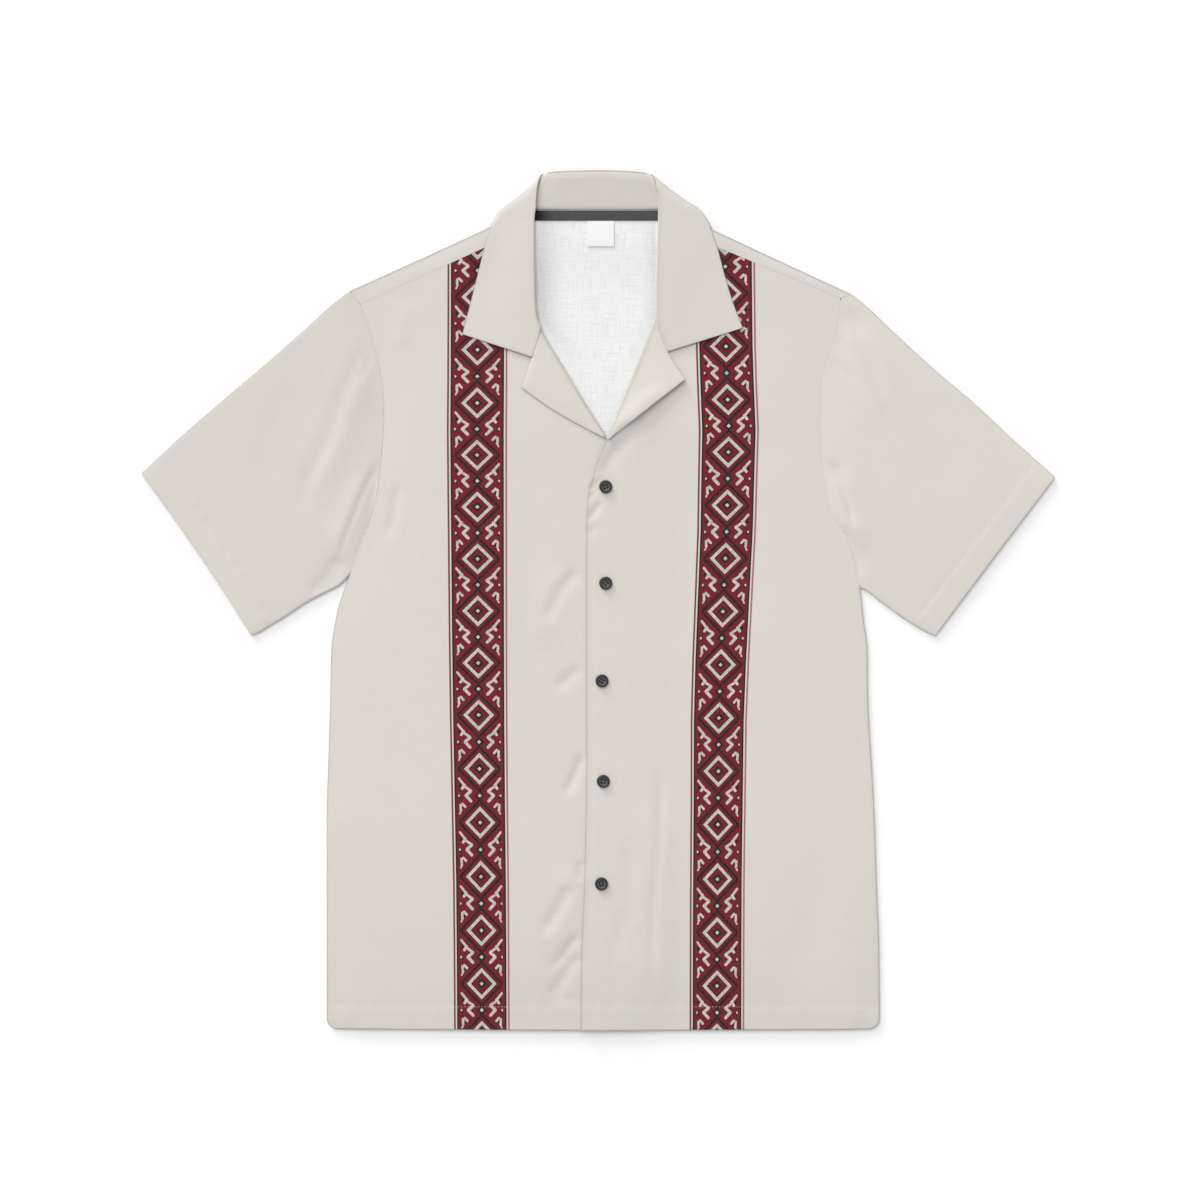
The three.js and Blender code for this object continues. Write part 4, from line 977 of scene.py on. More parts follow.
def sleeve(side, name, materials):
    """A flattened tube: upper layer, underarm turn, lower layer and shoulder turn, in rows to the cuff."""
    plan, ease, across = sleeve_plan(side)
    down = len(plan)
    inset = TURN_RADIUS + TURN_INSET

    def fold_edge(end, towards):
        run = unit(np.gradient(plan[:, end], axis=0))
        step = unit(plan[:, towards] - plan[:, end])
        depth = np.maximum(np.abs(step[:, 0] * run[:, 1] - step[:, 1] * run[:, 0]), LEAST_SINE)
        at = plan[:, end] + step * (inset / depth)[:, None]
        out = np.stack([-run[:, 1], run[:, 0]], -1)
        flip = np.sign(((plan[:, end] - plan[:, towards]) * out).sum(-1, keepdims=True))
        return at, out * flip

    (top, top_out), (under, under_out) = fold_edge(0, 1), fold_edge(-1, -2)
    line = plan.copy()
    line[:, 0], line[:, -1] = top, under
    # keep the next points inside the inset ones
    line[:, 1] = lerp(top, plan[:, 2], 0.5)
    line[:, -2] = lerp(under, plan[:, -3], 0.5)
    x, y = line[..., 0], line[..., 1]
    s, w = np.linspace(0, 1, down)[:, None], across[None]
    puff = SLEEVE_PUFF * ease[:, None] * (4 * w * (1 - w)) ** 0.95
    edges = smooth(s, 0, 0.12) * smooth(w, 0, 0.12) * (1 - smooth(w, 0.88, 1))
    near = smooth(s, 0, 0.03) * smooth(w, 0, 0.05) * (1 - smooth(w, 0.95, 1))
    gone = np.linalg.norm(plan[-1][None] - plan, axis=-1)
    hem = 1 - smooth(gone, CUFF_HEM - 0.8, CUFF_HEM + 1)
    run_w = w * CUFF_WIDTH
    waves = np.sin(run_w / 3.3 + 1.6 * np.sin(run_w / 9))
    step = HEM_STEP * hem + CUFF_PUCKER * bell(gone - CUFF_HEM, CUFF_PUCKER_REACH) * waves
    step = step - STITCH_DENT * bell(gone - CUFF_HEM, STITCH_DENT_REACH)
    lifted = puff + fold_height(x, y) * edges + (crease_height(x, y) + ripple(x, y)) * near + step * near
    upper_z = FLOOR_MIDDLE + LAYER + np.maximum(lifted, -DEEPEST)
    upper = np.concatenate([line, upper_z[..., None]], -1)
    within = smooth(s, 0.02, 0.2) * smooth(w, 0, 0.15) * (1 - smooth(w, 0.85, 1))
    hidden = crease_height(x, y, SLEEVE_CREASES[side]) * within
    lower = np.concatenate([line, (FLOOR_MIDDLE + hidden)[..., None]], -1)

    base, radius = np.full(down, FLOOR_MIDDLE), np.full(down, TURN_RADIUS)
    degrees = np.linspace(0, 180, TURN_STEPS + 2)[1:-1]
    over_top = [arc_turn(top, top_out, radius, base, d)[:, None] for d in degrees]
    round_under = [arc_turn(under, under_out, radius, base, d)[:, None] for d in degrees[::-1]]
    ring = np.concatenate(over_top + [upper] + round_under + [lower[:, ::-1]], 1)
    axis = unit(plan[-1, SLEEVE_COLUMNS // 2] - plan[0, SLEEVE_COLUMNS // 2])
    lengthways = ring[..., 0] * axis[0] + ring[..., 1] * axis[1]
    uv = np.stack([lengthways, ring[..., 1] * axis[0] - ring[..., 0] * axis[1]], -1)
    ring_hem = [hem[:, :1]] * TURN_STEPS + [hem] + [hem[:, -1:]] * TURN_STEPS + [hem[:, ::-1]]
    ring_hem = np.concatenate(ring_hem, 1)
    # painted shade along the sleeve's top and underarm turns
    fold = np.zeros(ring.shape[:2])
    under_from = TURN_STEPS + SLEEVE_COLUMNS + 1
    fold[:, :TURN_STEPS] = SLEEVE_TOP_SHADE
    fold[:, under_from : under_from + TURN_STEPS] = UNDERARM_SHADE
    fold[:, [TURN_STEPS, under_from - 1]] = SLEEVE_FOLD_SHADE
    if side == "r":
        ring, uv, ring_hem, fold = ring[:, ::-1], uv[:, ::-1], ring_hem[:, ::-1], fold[:, ::-1]
    kinds = np.zeros((2, down - 1, ring.shape[1]), int)
    kinds[1] = 1
    seam = np.zeros(ring.shape[:2], bool)
    seam[0] = True
    shade = CUFF_SHADE[side]
    tube = shell(ring, closed=True, kinds=kinds, uv=uv, hem=ring_hem, fold=fold, seam=seam, rim_shade=shade)
    # the lines of stitches, on both layers a hem's depth from the cuff
    paths = []
    for layer, lift in ((upper, THICK / 2), (lower, SINK - THICK / 2)):
        line = []
        for c in range(2, SLEEVE_COLUMNS - 1):
            line.append([np.interp(CUFF_HEM, gone[::-1, c], layer[::-1, c, k]) for k in range(3)])
        paths.append(np.array(line) + np.array([0, 0, lift]))
    return tube.build(name, materials), paths


# The trims on the back: left, right, bottom, top, lift over the back's middle, thickness, columns, rows
TAPE = (-59.3, 55.4, 350.2, 359.6, LAYER - 0.4, 0.7, 48, 6)
LABEL = (-10.3, 14.2, 326.3, 349.7, LAYER - 0.1, 0.4, 14, 14)


def patch(name, left, right, bottom, top, lift, thick, columns, rows, materials):
    xs, ys = np.linspace(left, right, columns + 1), np.linspace(bottom, top, rows + 1)
    plan = np.stack(np.meshgrid(xs, ys), -1)
    grid = lay(plan, lambda x, y: back_middle(x, y) + lift)
    return shell(grid, thick=thick).build(name, materials)


# Materials
class Graph:
    """Short ways to add shader nodes."""

    def __init__(self, name):
        self.material = bpy.data.materials.new(name)
        self.material.use_nodes = True
        self.tree = self.material.node_tree
        self.shader = self.tree.nodes["Principled BSDF"]

    def node(self, kind, **settings):
        made = self.tree.nodes.new("ShaderNode" + kind)
        for key, value in settings.items():
            setattr(made, key, value)
        return made

    def put(self, socket, value):
        if isinstance(value, bpy.types.NodeSocket):
            self.tree.links.new(value, socket)
        else:
            socket.default_value = value

    def math(self, operation, *inputs, clamp=False):
        made = self.node("Math", operation=operation, use_clamp=clamp)
        for socket, value in zip(made.inputs, inputs):
            self.put(socket, value)
        return made.outputs[0]

    def ramp(self, factor, stops, kind="CONSTANT"):
        made = self.node("ValToRGB")
        made.color_ramp.interpolation = kind
        elements = made.color_ramp.elements
        while len(elements) > 1:
            elements.remove(elements[-1])
        elements[0].position, elements[0].color = stops[0][0], (*stops[0][1], 1)
        for position, color in stops[1:]:
            elements.new(position).color = (*color, 1)
        self.put(made.inputs[0], factor)
        return made.outputs[0]

    def mix(self, factor, a, b, blend="MIX"):
        made = self.node("Mix", data_type="RGBA", blend_type=blend)
        for socket, value in zip((made.inputs[0], made.inputs[6], made.inputs[7]), (factor, a, b)):
            self.put(socket, value)
        return made.outputs[2]

    def shade(self, color, light):
        """The colour times a level of grey."""
        grey = self.node("CombineColor")
        for socket in grey.inputs[:3]:
            self.put(socket, light)
        return self.mix(1.0, color, grey.outputs[0], "MULTIPLY")

    def value(self, name):
        """The value that the mesh holds under a name at each point."""
        return self.node("Attribute", attribute_name=name).outputs["Fac"]

    def noise(self, vector, scale, detail=2.0, roughness=0.5):
        made = self.node("TexNoise")
        self.put(made.inputs["Vector"], vector)
        made.inputs["Scale"].default_value = scale
        made.inputs["Detail"].default_value = detail
        made.inputs["Roughness"].default_value = roughness
        return made.outputs["Fac"]

    def stretch(self, vector, x, y):
        made = self.node("VectorMath", operation="MULTIPLY")
        self.put(made.inputs[0], vector)
        made.inputs[1].default_value = (x, y, 1)
        return made.outputs[0]

    def uv(self, layer):
        return self.node("UVMap", uv_map=layer).outputs[0]

    def split(self, vector):
        made = self.node("SeparateXYZ")
        self.put(made.inputs[0], vector)
        return made.outputs[0], made.outputs[1]

    def bump(self, height, strength, distance, normal=None):
        made = self.node("Bump")
        made.inputs["Strength"].default_value = strength
        made.inputs["Distance"].default_value = distance
        self.put(made.inputs["Height"], height)
        if normal is not None:
            self.put(made.inputs["Normal"], normal)
        return made.outputs[0]


def linear(r, g, b):
    return tuple(((c / 255 + 0.055) / 1.055) ** 2.4 if c > 10 else c / 255 / 12.92 for c in (r, g, b))


def rgba(color):
    return (*color, 1.0)


CREAM = linear(216, 212, 204)
HEM_CREAM = linear(217, 213, 205)
INSIDE = linear(243, 243, 242)
INSIDE_THREAD = linear(218, 220, 223)
SHADE_TINT = linear(40, 40, 42)
RED = linear(138, 36, 43)
WINE = linear(106, 32, 40)
DARK_RED = linear(118, 31, 37)
EDGE_RED = linear(90, 32, 34)
INNER_RED = linear(56, 28, 28)
GREEN_BLACK = linear(26, 42, 36)
BROWN_BLACK = linear(62, 34, 34)
BAND_WHITE = linear(208, 204, 195)
LINE_RED = linear(130, 58, 62)
LINE_PINK = linear(168, 108, 114)
CREAM_THREAD = linear(224, 219, 211)
DARK_THREAD = linear(52, 54, 56)
THREAD_PITCH = 0.62
TAU = 2 * math.pi


def weave(g, uv, tint, depth):
    """Plain weave with slubs: a colour with thread streaks, and its height."""
    u, v = g.split(uv)
    warp = g.math("SINE", g.math("MULTIPLY", u, TAU / THREAD_PITCH))
    weft = g.math("SINE", g.math("MULTIPLY", v, TAU / THREAD_PITCH))
    check = g.math("MULTIPLY", warp, weft)
    across = g.noise(g.stretch(uv, 0.035, 0.95), 1.0, 3.0, 0.6)
    along = g.noise(g.stretch(uv, 0.95, 0.035), 1.0, 3.0, 0.6)
    fine = g.noise(g.stretch(uv, 0.5, 0.5), 1.6, 2.0)
    clouds = g.noise(g.stretch(uv, 0.012, 0.012), 1.0, 2.0)
    slubs = g.math("ADD", across, along)
    light = g.math("MULTIPLY_ADD", slubs, depth, 1 - depth)
    light = g.math("MULTIPLY_ADD", fine, depth * 0.5, g.math("SUBTRACT", light, depth * 0.25))
    light = g.math("MULTIPLY_ADD", clouds, 0.03, g.math("SUBTRACT", light, 0.015))
    color = g.shade(tint, light)
    height = g.math("MULTIPLY_ADD", check, 0.25, g.math("MULTIPLY", slubs, 1.3))
    return color, height


def cloth_finish(g, color, height, bump=0.35, roughness=0.92, sheen=0.12):
    g.put(g.shader.inputs["Base Color"], color)
    rough = g.math("MULTIPLY_ADD", height, -0.04, roughness)
    g.put(g.shader.inputs["Roughness"], rough)
    g.shader.inputs["Specular IOR Level"].default_value = 0.22
    g.shader.inputs["Sheen Weight"].default_value = sheen
    g.shader.inputs["Sheen Roughness"].default_value = 0.5
    g.put(g.shader.inputs["Normal"], g.bump(height, bump, 0.00025))
    return g.material


# Strokes of the motif beside each crossing, in stitches from the band's middle and below the crossing:
# start, end and half width
WHITE_STROKES = [
    ((12.8, -10.2), (9.9, -6.6), 0.70),
    ((9.5, -6.3), (10.9, -4.3), 0.85),
    ((8.7, -5.0), (5.5, -2.9), 0.75),
    ((5.6, -2.6), (8.6, -0.1), 0.90),
    ((8.6, 0.1), (5.6, 3.2), 0.90),
    ((10.9, 4.9), (9.3, 6.6), 0.75),
    ((12.1, 5.6), (12.0, 8.6), 0.75),
    ((11.6, 8.6), (12.7, 10.8), 0.50),
    ((13.1, 0.0), (13.1, 0.1), 0.70),
]
DARK_STROKES = [
    ((12.3, -6.2), (11.8, -5.4), 0.75),
    ((10.7, 6.9), (10.5, 7.6), 0.65),
    ((12.5, 0.4), (12.6, 1.2), 0.75),
]
REPEAT = 32
HALF_BAND = 13
STITCH_MM = 48.5 / REPEAT
DYE_LEAST, DYE_SPREAD, GAP_DARK = 0.78, 0.30, 0.30
# Beside the stitched part: a dark red edge, a green-black line, then a thin line on each side
EDGE_TO = 22.35
DARK_LINE_AT, THIN_LINE_AT, HALF_LINE = 23.1, 26.1, 0.85
RING_SPAN = 40
DOT_TO = 3.1
# Rings of a diamond, by their distance from its middle in stitches
DIAMOND_RINGS = [
    (0, BAND_WHITE),
    (1.2, GREEN_BLACK),
    (3.2, RED),
    (6.0, INNER_RED),
    (6.8, BAND_WHITE),
    (9.4, EDGE_RED),
    (10.0, RED),
    (11.9, GREEN_BLACK),
    (14.1, RED),
]
DOT_RINGS = [(0, BAND_WHITE), (1.2, GREEN_BLACK), (DOT_TO, RED)]
# Uneven dye: what the darkest stitches of each colour fade to
UNEVEN = {RED: WINE, GREEN_BLACK: BROWN_BLACK}


def stroke(g, a, b, start, end, half_width):
    """1 inside a straight stroke with round ends, and 0 outside it."""
    (a0, b0), (a1, b1) = start, end
    da, db = a1 - a0, b1 - b0
    square = da * da + db * db
    share = g.math("MULTIPLY_ADD", a, da / square, -(a0 * da + b0 * db) / square)
    share = g.math("MULTIPLY_ADD", b, db / square, share, clamp=True)
    off_a = g.math("MULTIPLY_ADD", share, -da, g.math("SUBTRACT", a, a0))
    off_b = g.math("MULTIPLY_ADD", share, -db, g.math("SUBTRACT", b, b0))
    apart = g.math("ADD", g.math("MULTIPLY", off_a, off_a), g.math("MULTIPLY", off_b, off_b))
    return g.math("LESS_THAN", apart, half_width * half_width)


def band_color(g):
    """The cross-stitch border: diamonds in a lattice, crossing dots and a zigzag beside each crossing."""
    u, along = g.split(g.uv("band"))
    level = g.math("MULTIPLY_ADD", g.math("FRACT", g.math("ADD", along, 0.5)), REPEAT, -REPEAT / 2)
    off = g.math("ABSOLUTE", level)
    width = g.math("ABSOLUTE", g.math("MULTIPLY", u, 1 / STITCH_MM))
    ring = g.math("MULTIPLY", g.math("ADD", width, off), 1 / RING_SPAN)
    color = g.ramp(ring, [(k / RING_SPAN, c) for k, c in DIAMOND_RINGS])
    uneven = g.ramp(ring, [(k / RING_SPAN, UNEVEN.get(c, c)) for k, c in DIAMOND_RINGS])
    grain = g.node("TexWhiteNoise", noise_dimensions="2D")
    cell = g.node("CombineXYZ")
    g.put(cell.inputs[0], g.math("FLOOR", g.math("MULTIPLY_ADD", u, 1 / STITCH_MM, 0.5)))
    g.put(cell.inputs[1], g.math("FLOOR", g.math("MULTIPLY_ADD", along, REPEAT, 0.5)))
    g.put(grain.inputs["Vector"], cell.outputs[0])
    color = g.mix(grain.outputs["Value"], color, uneven)
    # the dot where two lattice lines cross
    crossing = g.math("ADD", width, g.math("SUBTRACT", REPEAT / 2, off))
    dot = g.ramp(g.math("MULTIPLY", crossing, 1 / RING_SPAN), [(k / RING_SPAN, c) for k, c in DOT_RINGS])
    color = g.mix(g.math("LESS_THAN", crossing, DOT_TO), color, dot)
    # the motif beside each crossing
    below = g.math("SUBTRACT", g.math("WRAP", level, REPEAT, 0), REPEAT / 2)
    for strokes, tint in ((DARK_STROKES, GREEN_BLACK), (WHITE_STROKES, BAND_WHITE)):
        drawn = 0.0
        for start, end, half_width in strokes:
            drawn = g.math("MAXIMUM", drawn, stroke(g, width, below, start, end, half_width))
        color = g.mix(drawn, color, rgba(tint))
    # stitches: uneven dye, and a darker gap round each
    fu = g.math("PINGPONG", g.math("MULTIPLY_ADD", u, 1 / STITCH_MM, 0.5), 0.5)
    fv = g.math("PINGPONG", g.math("MULTIPLY_ADD", along, REPEAT, 0.5), 0.5)
    edge = g.math("MINIMUM", fu, fv)
    gap = g.math("SUBTRACT", 1.0, g.math("MULTIPLY", edge, 8.0, clamp=True))
    light = g.math("MULTIPLY_ADD", grain.outputs["Value"], DYE_SPREAD, DYE_LEAST)
    light = g.math("SUBTRACT", light, g.math("MULTIPLY", gap, GAP_DARK))
    return u, g.shade(color, light)


def banded_color(g, cloth):
    u, stitched = band_color(g)
    out = g.math("ABSOLUTE", u)
    pink_side = g.math("GREATER_THAN", u, 0.0)
    line = g.mix(pink_side, rgba(LINE_RED), rgba(LINE_PINK))
    inside = g.math("LESS_THAN", out, (HALF_BAND + 0.45) * STITCH_MM)
    color = g.mix(g.math("COMPARE", out, THIN_LINE_AT, HALF_LINE), cloth, line)
    color = g.mix(g.math("COMPARE", out, DARK_LINE_AT, HALF_LINE), color, rgba(GREEN_BLACK))
    color = g.mix(g.math("LESS_THAN", out, EDGE_TO), color, rgba(DARK_RED))
    return g.mix(inside, color, stitched)


# The painted shade of a full fold, most of it in the darkest part of the fold, and a little that is even
EDGE_DARK, EDGE_DIM, EDGE_TINT = 0.36, 0.04, (0.06, 0.055, 0.05)


def edge_shade(g, color):
    """Painted shade: a folded or cut edge turns away from the light, so its colour is darkened by the edge
    value.
    """
    edge = g.value("edge")
    shade = g.math("MULTIPLY_ADD", g.math("POWER", edge, 4.0), EDGE_DARK, g.math("MULTIPLY", edge, EDGE_DIM))
    return g.mix(shade, color, rgba(EDGE_TINT))


# Painted shade: the cream cloth is darkened from this height down towards the hem, where the light falls off
LOW_SHADE_Y, LOW_SHADE_RUN, LOW_SHADE_DEPTH = -200, 190, 0.065
CREAM_STREAKS, INSIDE_STREAKS = 0.055, 0.04


def cream_cloth(name, banded=False):
    g = Graph(name)
    uv = g.uv("cloth")
    tint = g.mix(g.value("hem"), rgba(CREAM), rgba(HEM_CREAM))
    color, height = weave(g, uv, tint, CREAM_STREAKS)
    # painted shade, deeper towards the hem
    low = g.math("MULTIPLY_ADD", g.split(uv)[1], -1 / LOW_SHADE_RUN, LOW_SHADE_Y / LOW_SHADE_RUN, clamp=True)
    color = g.mix(g.math("MULTIPLY", low, LOW_SHADE_DEPTH), color, rgba(SHADE_TINT))
    if banded:
        color = banded_color(g, color)
    return cloth_finish(g, edge_shade(g, color), height)


# Painted shadow on the white inside next to the collar's rolls, where the rolls shade it: which way it lies
# from the roll, the roll's x where the wings end and its lean below, where the shadow is full, how far it
# reaches, and its depth
WINGS_END_Y = 262.0
NECK_SHADOWS = [(1, -58.0, 0.505, 8.0, 26.0, 0.27), (-1, 53.0, 0.36, 1.0, 15.0, 0.14)]
NECK_SHADOW_FADE = 50


def inside_cloth():
    g = Graph("inside_weave")
    uv = g.uv("cloth")
    streaks = [g.noise(g.stretch(uv, *run), 1.0, 3.0, 0.65) for run in ((0.05, 0.9), (0.9, 0.05))]
    lines = g.math("MAXIMUM", *streaks)
    tint = g.mix(g.math("MULTIPLY_ADD", lines, 3.2, -1.5, clamp=True), rgba(INSIDE), rgba(INSIDE_THREAD))
    color, height = weave(g, uv, tint, INSIDE_STREAKS)
    x, y = g.split(uv)
    below = g.math("MAXIMUM", g.math("SUBTRACT", WINGS_END_Y, y), 0.0)
    above = g.math("SUBTRACT", 1.0, g.math("MULTIPLY", below, 1 / NECK_SHADOW_FADE), clamp=True)
    # painted shadow beside each roll, fading out below where the wings end
    for sign, roll_x, lean, start, reach, depth in NECK_SHADOWS:
        roll = g.math("MULTIPLY_ADD", below, sign * lean, roll_x)
        distance = g.math("MULTIPLY", g.math("SUBTRACT", x, roll), sign)
        near = g.math("SUBTRACT", 1.0, g.math("MULTIPLY", distance, 1 / reach), clamp=True)
        near = g.math("MULTIPLY", near, g.math("MULTIPLY", distance, 1 / start, clamp=True))
        near = g.math("MULTIPLY", near, above)
        color = g.mix(g.math("MULTIPLY", near, depth), color, rgba(SHADE_TINT))
    return cloth_finish(g, color, height)


TWILL_PITCH, TWILL_SLANT = 0.9, 1.6
# Painted shadow: the tape is darkened towards its end under the right wing, which shades it
TAPE_SHADOW_X, TAPE_SHADOW_FADE = -55.5, 14
RIB_PITCH = 0.4


def tape_cloth():
    g = Graph("neck_tape_twill")
    uv = g.uv("cloth")
    u, v = g.split(uv)
    slanted = g.math("ADD", u, g.math("MULTIPLY", v, TWILL_SLANT))
    twill = g.math("SINE", g.math("MULTIPLY", slanted, TAU / TWILL_PITCH))
    grain = g.noise(uv, 0.9, 3.0)
    shade = g.math("MULTIPLY_ADD", grain, 0.7, g.math("MULTIPLY_ADD", twill, 0.08, 0.25), clamp=True)
    # painted shadow towards the end under the right wing
    out_of_shadow = g.math("MULTIPLY_ADD", u, 1 / TAPE_SHADOW_FADE, -TAPE_SHADOW_X / TAPE_SHADOW_FADE, clamp=True)
    shade = g.math("MULTIPLY", shade, out_of_shadow)
    color = g.mix(shade, rgba(linear(22, 22, 23)), rgba(linear(96, 98, 98)))
    return cloth_finish(g, color, twill, 0.4, 0.8)


def label_cloth():
    g = Graph("label_satin")
    uv = g.uv("cloth")
    rib = g.math("SINE", g.math("MULTIPLY", g.split(uv)[1], TAU / RIB_PITCH))
    grain = g.noise(g.stretch(uv, 0.1, 1.4), 1.0, 2.0)
    color = g.mix(grain, rgba(linear(236, 236, 235)), rgba(linear(250, 250, 250)))
    return cloth_finish(g, color, rib, 0.15, 0.55, 0.05)


def thread_finish(name, color):
    g = Graph(name)
    where = g.node("NewGeometry").outputs["Position"]
    grain = g.noise(where, 2600.0, 2.0)
    g.put(g.shader.inputs["Base Color"], g.mix(grain, rgba(tuple(c * 0.82 for c in color)), rgba(color)))
    g.shader.inputs["Roughness"].default_value = 0.75
    g.put(g.shader.inputs["Normal"], g.bump(grain, 0.3, 0.0001))
    return g.material


def button_finish(name, dark, light, rough=0.22):
    g = Graph(name)
    where = g.node("NewGeometry").outputs["Position"]
    swirl = g.noise(where, 420.0, 4.0, 0.6)
    fine = g.noise(where, 3000.0, 2.0)
    g.put(g.shader.inputs["Base Color"], g.mix(swirl, rgba(linear(*dark)), rgba(linear(*light))))
    g.put(g.shader.inputs["Roughness"], g.math("MULTIPLY_ADD", swirl, 0.16, rough))
    g.shader.inputs["Specular IOR Level"].default_value = 0.55
    g.put(g.shader.inputs["Normal"], g.bump(fine, 0.08, 0.00008))
    return g.material


cream = cream_cloth("cream_weave")
cream_banded = cream_cloth("cream_weave_band", banded=True)
inside = inside_cloth()
tape_look = tape_cloth()
label_look = label_cloth()
cream_thread = thread_finish("cream_thread", CREAM_THREAD)
dark_thread = thread_finish("dark_thread", DARK_THREAD)
# Three copies of the buttons' one charcoal plastic: the dish painted lighter for the light it catches, the
# rim darker and the holes near black as painted shade
button_lit_face = button_finish("button_lit_face", (44, 45, 46), (84, 86, 87), 0.5)
button_shaded_rim = button_finish("button_shaded_rim", (15, 16, 17), (40, 42, 43), 0.34)
button_shaded_hole = button_finish("button_shaded_hole", (4, 4, 5), (9, 9, 10), 0.8)


# Shells
back = back_panel([cream, inside])
right_front = front_panel("r", "right_front_cloth", [cream_banded, inside, cream])
left_front = front_panel("l", "left_front_cloth", [cream_banded, inside, cream])
right_sleeve, right_cuff_rows = sleeve("r", "right_sleeve_cloth", [cream, inside])
left_sleeve, left_cuff_rows = sleeve("l", "left_sleeve_cloth", [cream, inside])
collar = collar_band([cream])
tape = patch("neck_tape_twill", *TAPE, [tape_look])
label = patch("care_label_blank", *LABEL, [label_look])


# Buttons: a turned disc with a rim, a dish and four holes, sewn on with two bars of thread
BUTTON_PROFILE = [
    (0.0, 1.55), (1.2, 1.55), (2.6, 1.6), (3.3, 1.75), (3.7, 2.05), (4.1, 2.32), (4.6, 2.42),
    (5.1, 2.38), (5.5, 2.2), (5.8, 1.85), (5.98, 1.4), (5.98, 1.05), (5.8, 0.7), (5.3, 0.3),
    (4.6, 0.02), (2.0, 0.0), (0.0, 0.0),
]
BUTTON_SEGMENTS = 56
HOLE_RADIUS, HOLE_AT, HOLE_BOTTOM = 0.8, 2.08, 0.5
HOLE_SIDE = HOLE_AT * math.sqrt(0.5)
PIN_SIDES, PIN_TOP = 16, 4
RIM_FROM, FACE_Z = 4.0, 1.5
BUTTON_TURN = 0.35


def turned_disc():
    angles = np.arange(BUTTON_SEGMENTS) * TAU / BUTTON_SEGMENTS
    points = [(0, 0, BUTTON_PROFILE[0][1])]
    for r, z in BUTTON_PROFILE[1:-1]:
        points += [(r * math.cos(a), r * math.sin(a), z) for a in angles]
    points.append((0, 0, BUTTON_PROFILE[-1][1]))
    n, rings, last = BUTTON_SEGMENTS, len(BUTTON_PROFILE) - 2, len(points) - 1
    faces = [[0, 1 + k, 1 + (k + 1) % n] for k in range(n)]
    for r in range(rings - 1):
        a, b = 1 + r * n, 1 + (r + 1) * n
        faces += [[a + k, b + k, b + (k + 1) % n, a + (k + 1) % n] for k in range(n)]
    bottom = 1 + (rings - 1) * n
    faces += [[bottom + (k + 1) % n, bottom + k, last] for k in range(n)]
    return np.array(points, float), faces


def drilled_mesh():
    """The disc with its four holes, filled with thread at the bottom, in millimetres round the origin."""
    points, faces = turned_disc()
    disc = bpy.data.meshes.new("disc")
    disc.from_pydata(points.tolist(), [], faces)
    disc_object = bpy.data.objects.new("disc", disc)
    SCENE.collection.objects.link(disc_object)
    pins = Mesh()
    n = PIN_SIDES
    ring = np.arange(n) * TAU / n
    walls = [[k, (k + 1) % n, n + (k + 1) % n, n + k] for k in range(n)]
    ends = [list(range(n - 1, -1, -1)), list(range(n, 2 * n))]
    for corner in (45, 135, 225, 315):
        cx, cy = HOLE_AT * math.cos(math.radians(corner)), HOLE_AT * math.sin(math.radians(corner))
        low = [(cx + HOLE_RADIUS * math.cos(a), cy + HOLE_RADIUS * math.sin(a), HOLE_BOTTOM) for a in ring]
        high = [(x, y, PIN_TOP) for x, y, _ in low]
        pins.add(low + high, walls + ends, [0] * (n + 2))
    pin_mesh = bpy.data.meshes.new("pins")
    pin_mesh.from_pydata(np.concatenate(pins.points).tolist(), [], pins.faces)
    pin_object = bpy.data.objects.new("pins", pin_mesh)
    SCENE.collection.objects.link(pin_object)
    cut = disc_object.modifiers.new("holes", "BOOLEAN")
    cut.operation, cut.object, cut.solver = "DIFFERENCE", pin_object, "EXACT"
    bpy.context.view_layer.update()
    made = bpy.data.meshes.new_from_object(disc_object.evaluated_get(bpy.context.evaluated_depsgraph_get()))
    for o in (disc_object, pin_object):
        bpy.data.objects.remove(o)
    return made


def spun(points, number):
    """Points turned about a button's own axis, since each button sits a little differently."""
    turn = BUTTON_TURN * number
    x, y, z = points.T
    return np.stack([x * math.cos(turn) - y * math.sin(turn), x * math.sin(turn) + y * math.cos(turn), z], -1)


def face_look(centre):
    """0 for a face of the dish, 1 for the rim and 2 for the inside of a hole."""
    x, y, z = centre
    in_hole = math.hypot(abs(x) - HOLE_SIDE, abs(y) - HOLE_SIDE) < HOLE_RADIUS + 0.02
    if in_hole and z < FACE_Z:
        return 2
    return 1 if math.hypot(x, y) > RIM_FROM else 0


def sewn_on_button(number, drilled):
    name = f"button_{number}_turned"
    low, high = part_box(f"button_{number}")
    mesh = drilled.copy()
    mesh.name = name
    co = np.zeros(len(mesh.vertices) * 3)
    mesh.vertices.foreach_get("co", co)
    placed = spun(co.reshape(-1, 3), number) * MM
    placed += np.array([(low.x + high.x) / 2, (low.y + high.y) / 2, low.z])
    looks = np.array([face_look(polygon.center) for polygon in drilled.polygons], np.int32)
    mesh.vertices.foreach_set("co", placed.ravel())
    mesh.materials.clear()
    # painted light on the dish, painted shade on the rim and in the holes
    for look in (button_lit_face, button_shaded_rim, button_shaded_hole):
        mesh.materials.append(look)
    mesh.polygons.foreach_set("material_index", looks)
    mesh.shade_smooth()
    mesh.set_sharp_from_angle(angle=math.radians(35))
    button = bpy.data.objects.new(name, mesh)
    SCENE.collection.objects.link(button)
    return button


drilled = drilled_mesh()
buttons = [sewn_on_button(number, drilled) for number in range(1, len(BUTTON_CENTRES) + 1)]


# Stitches
STITCH_SIDES = 6
HEM_PATH_STEP = 1.5


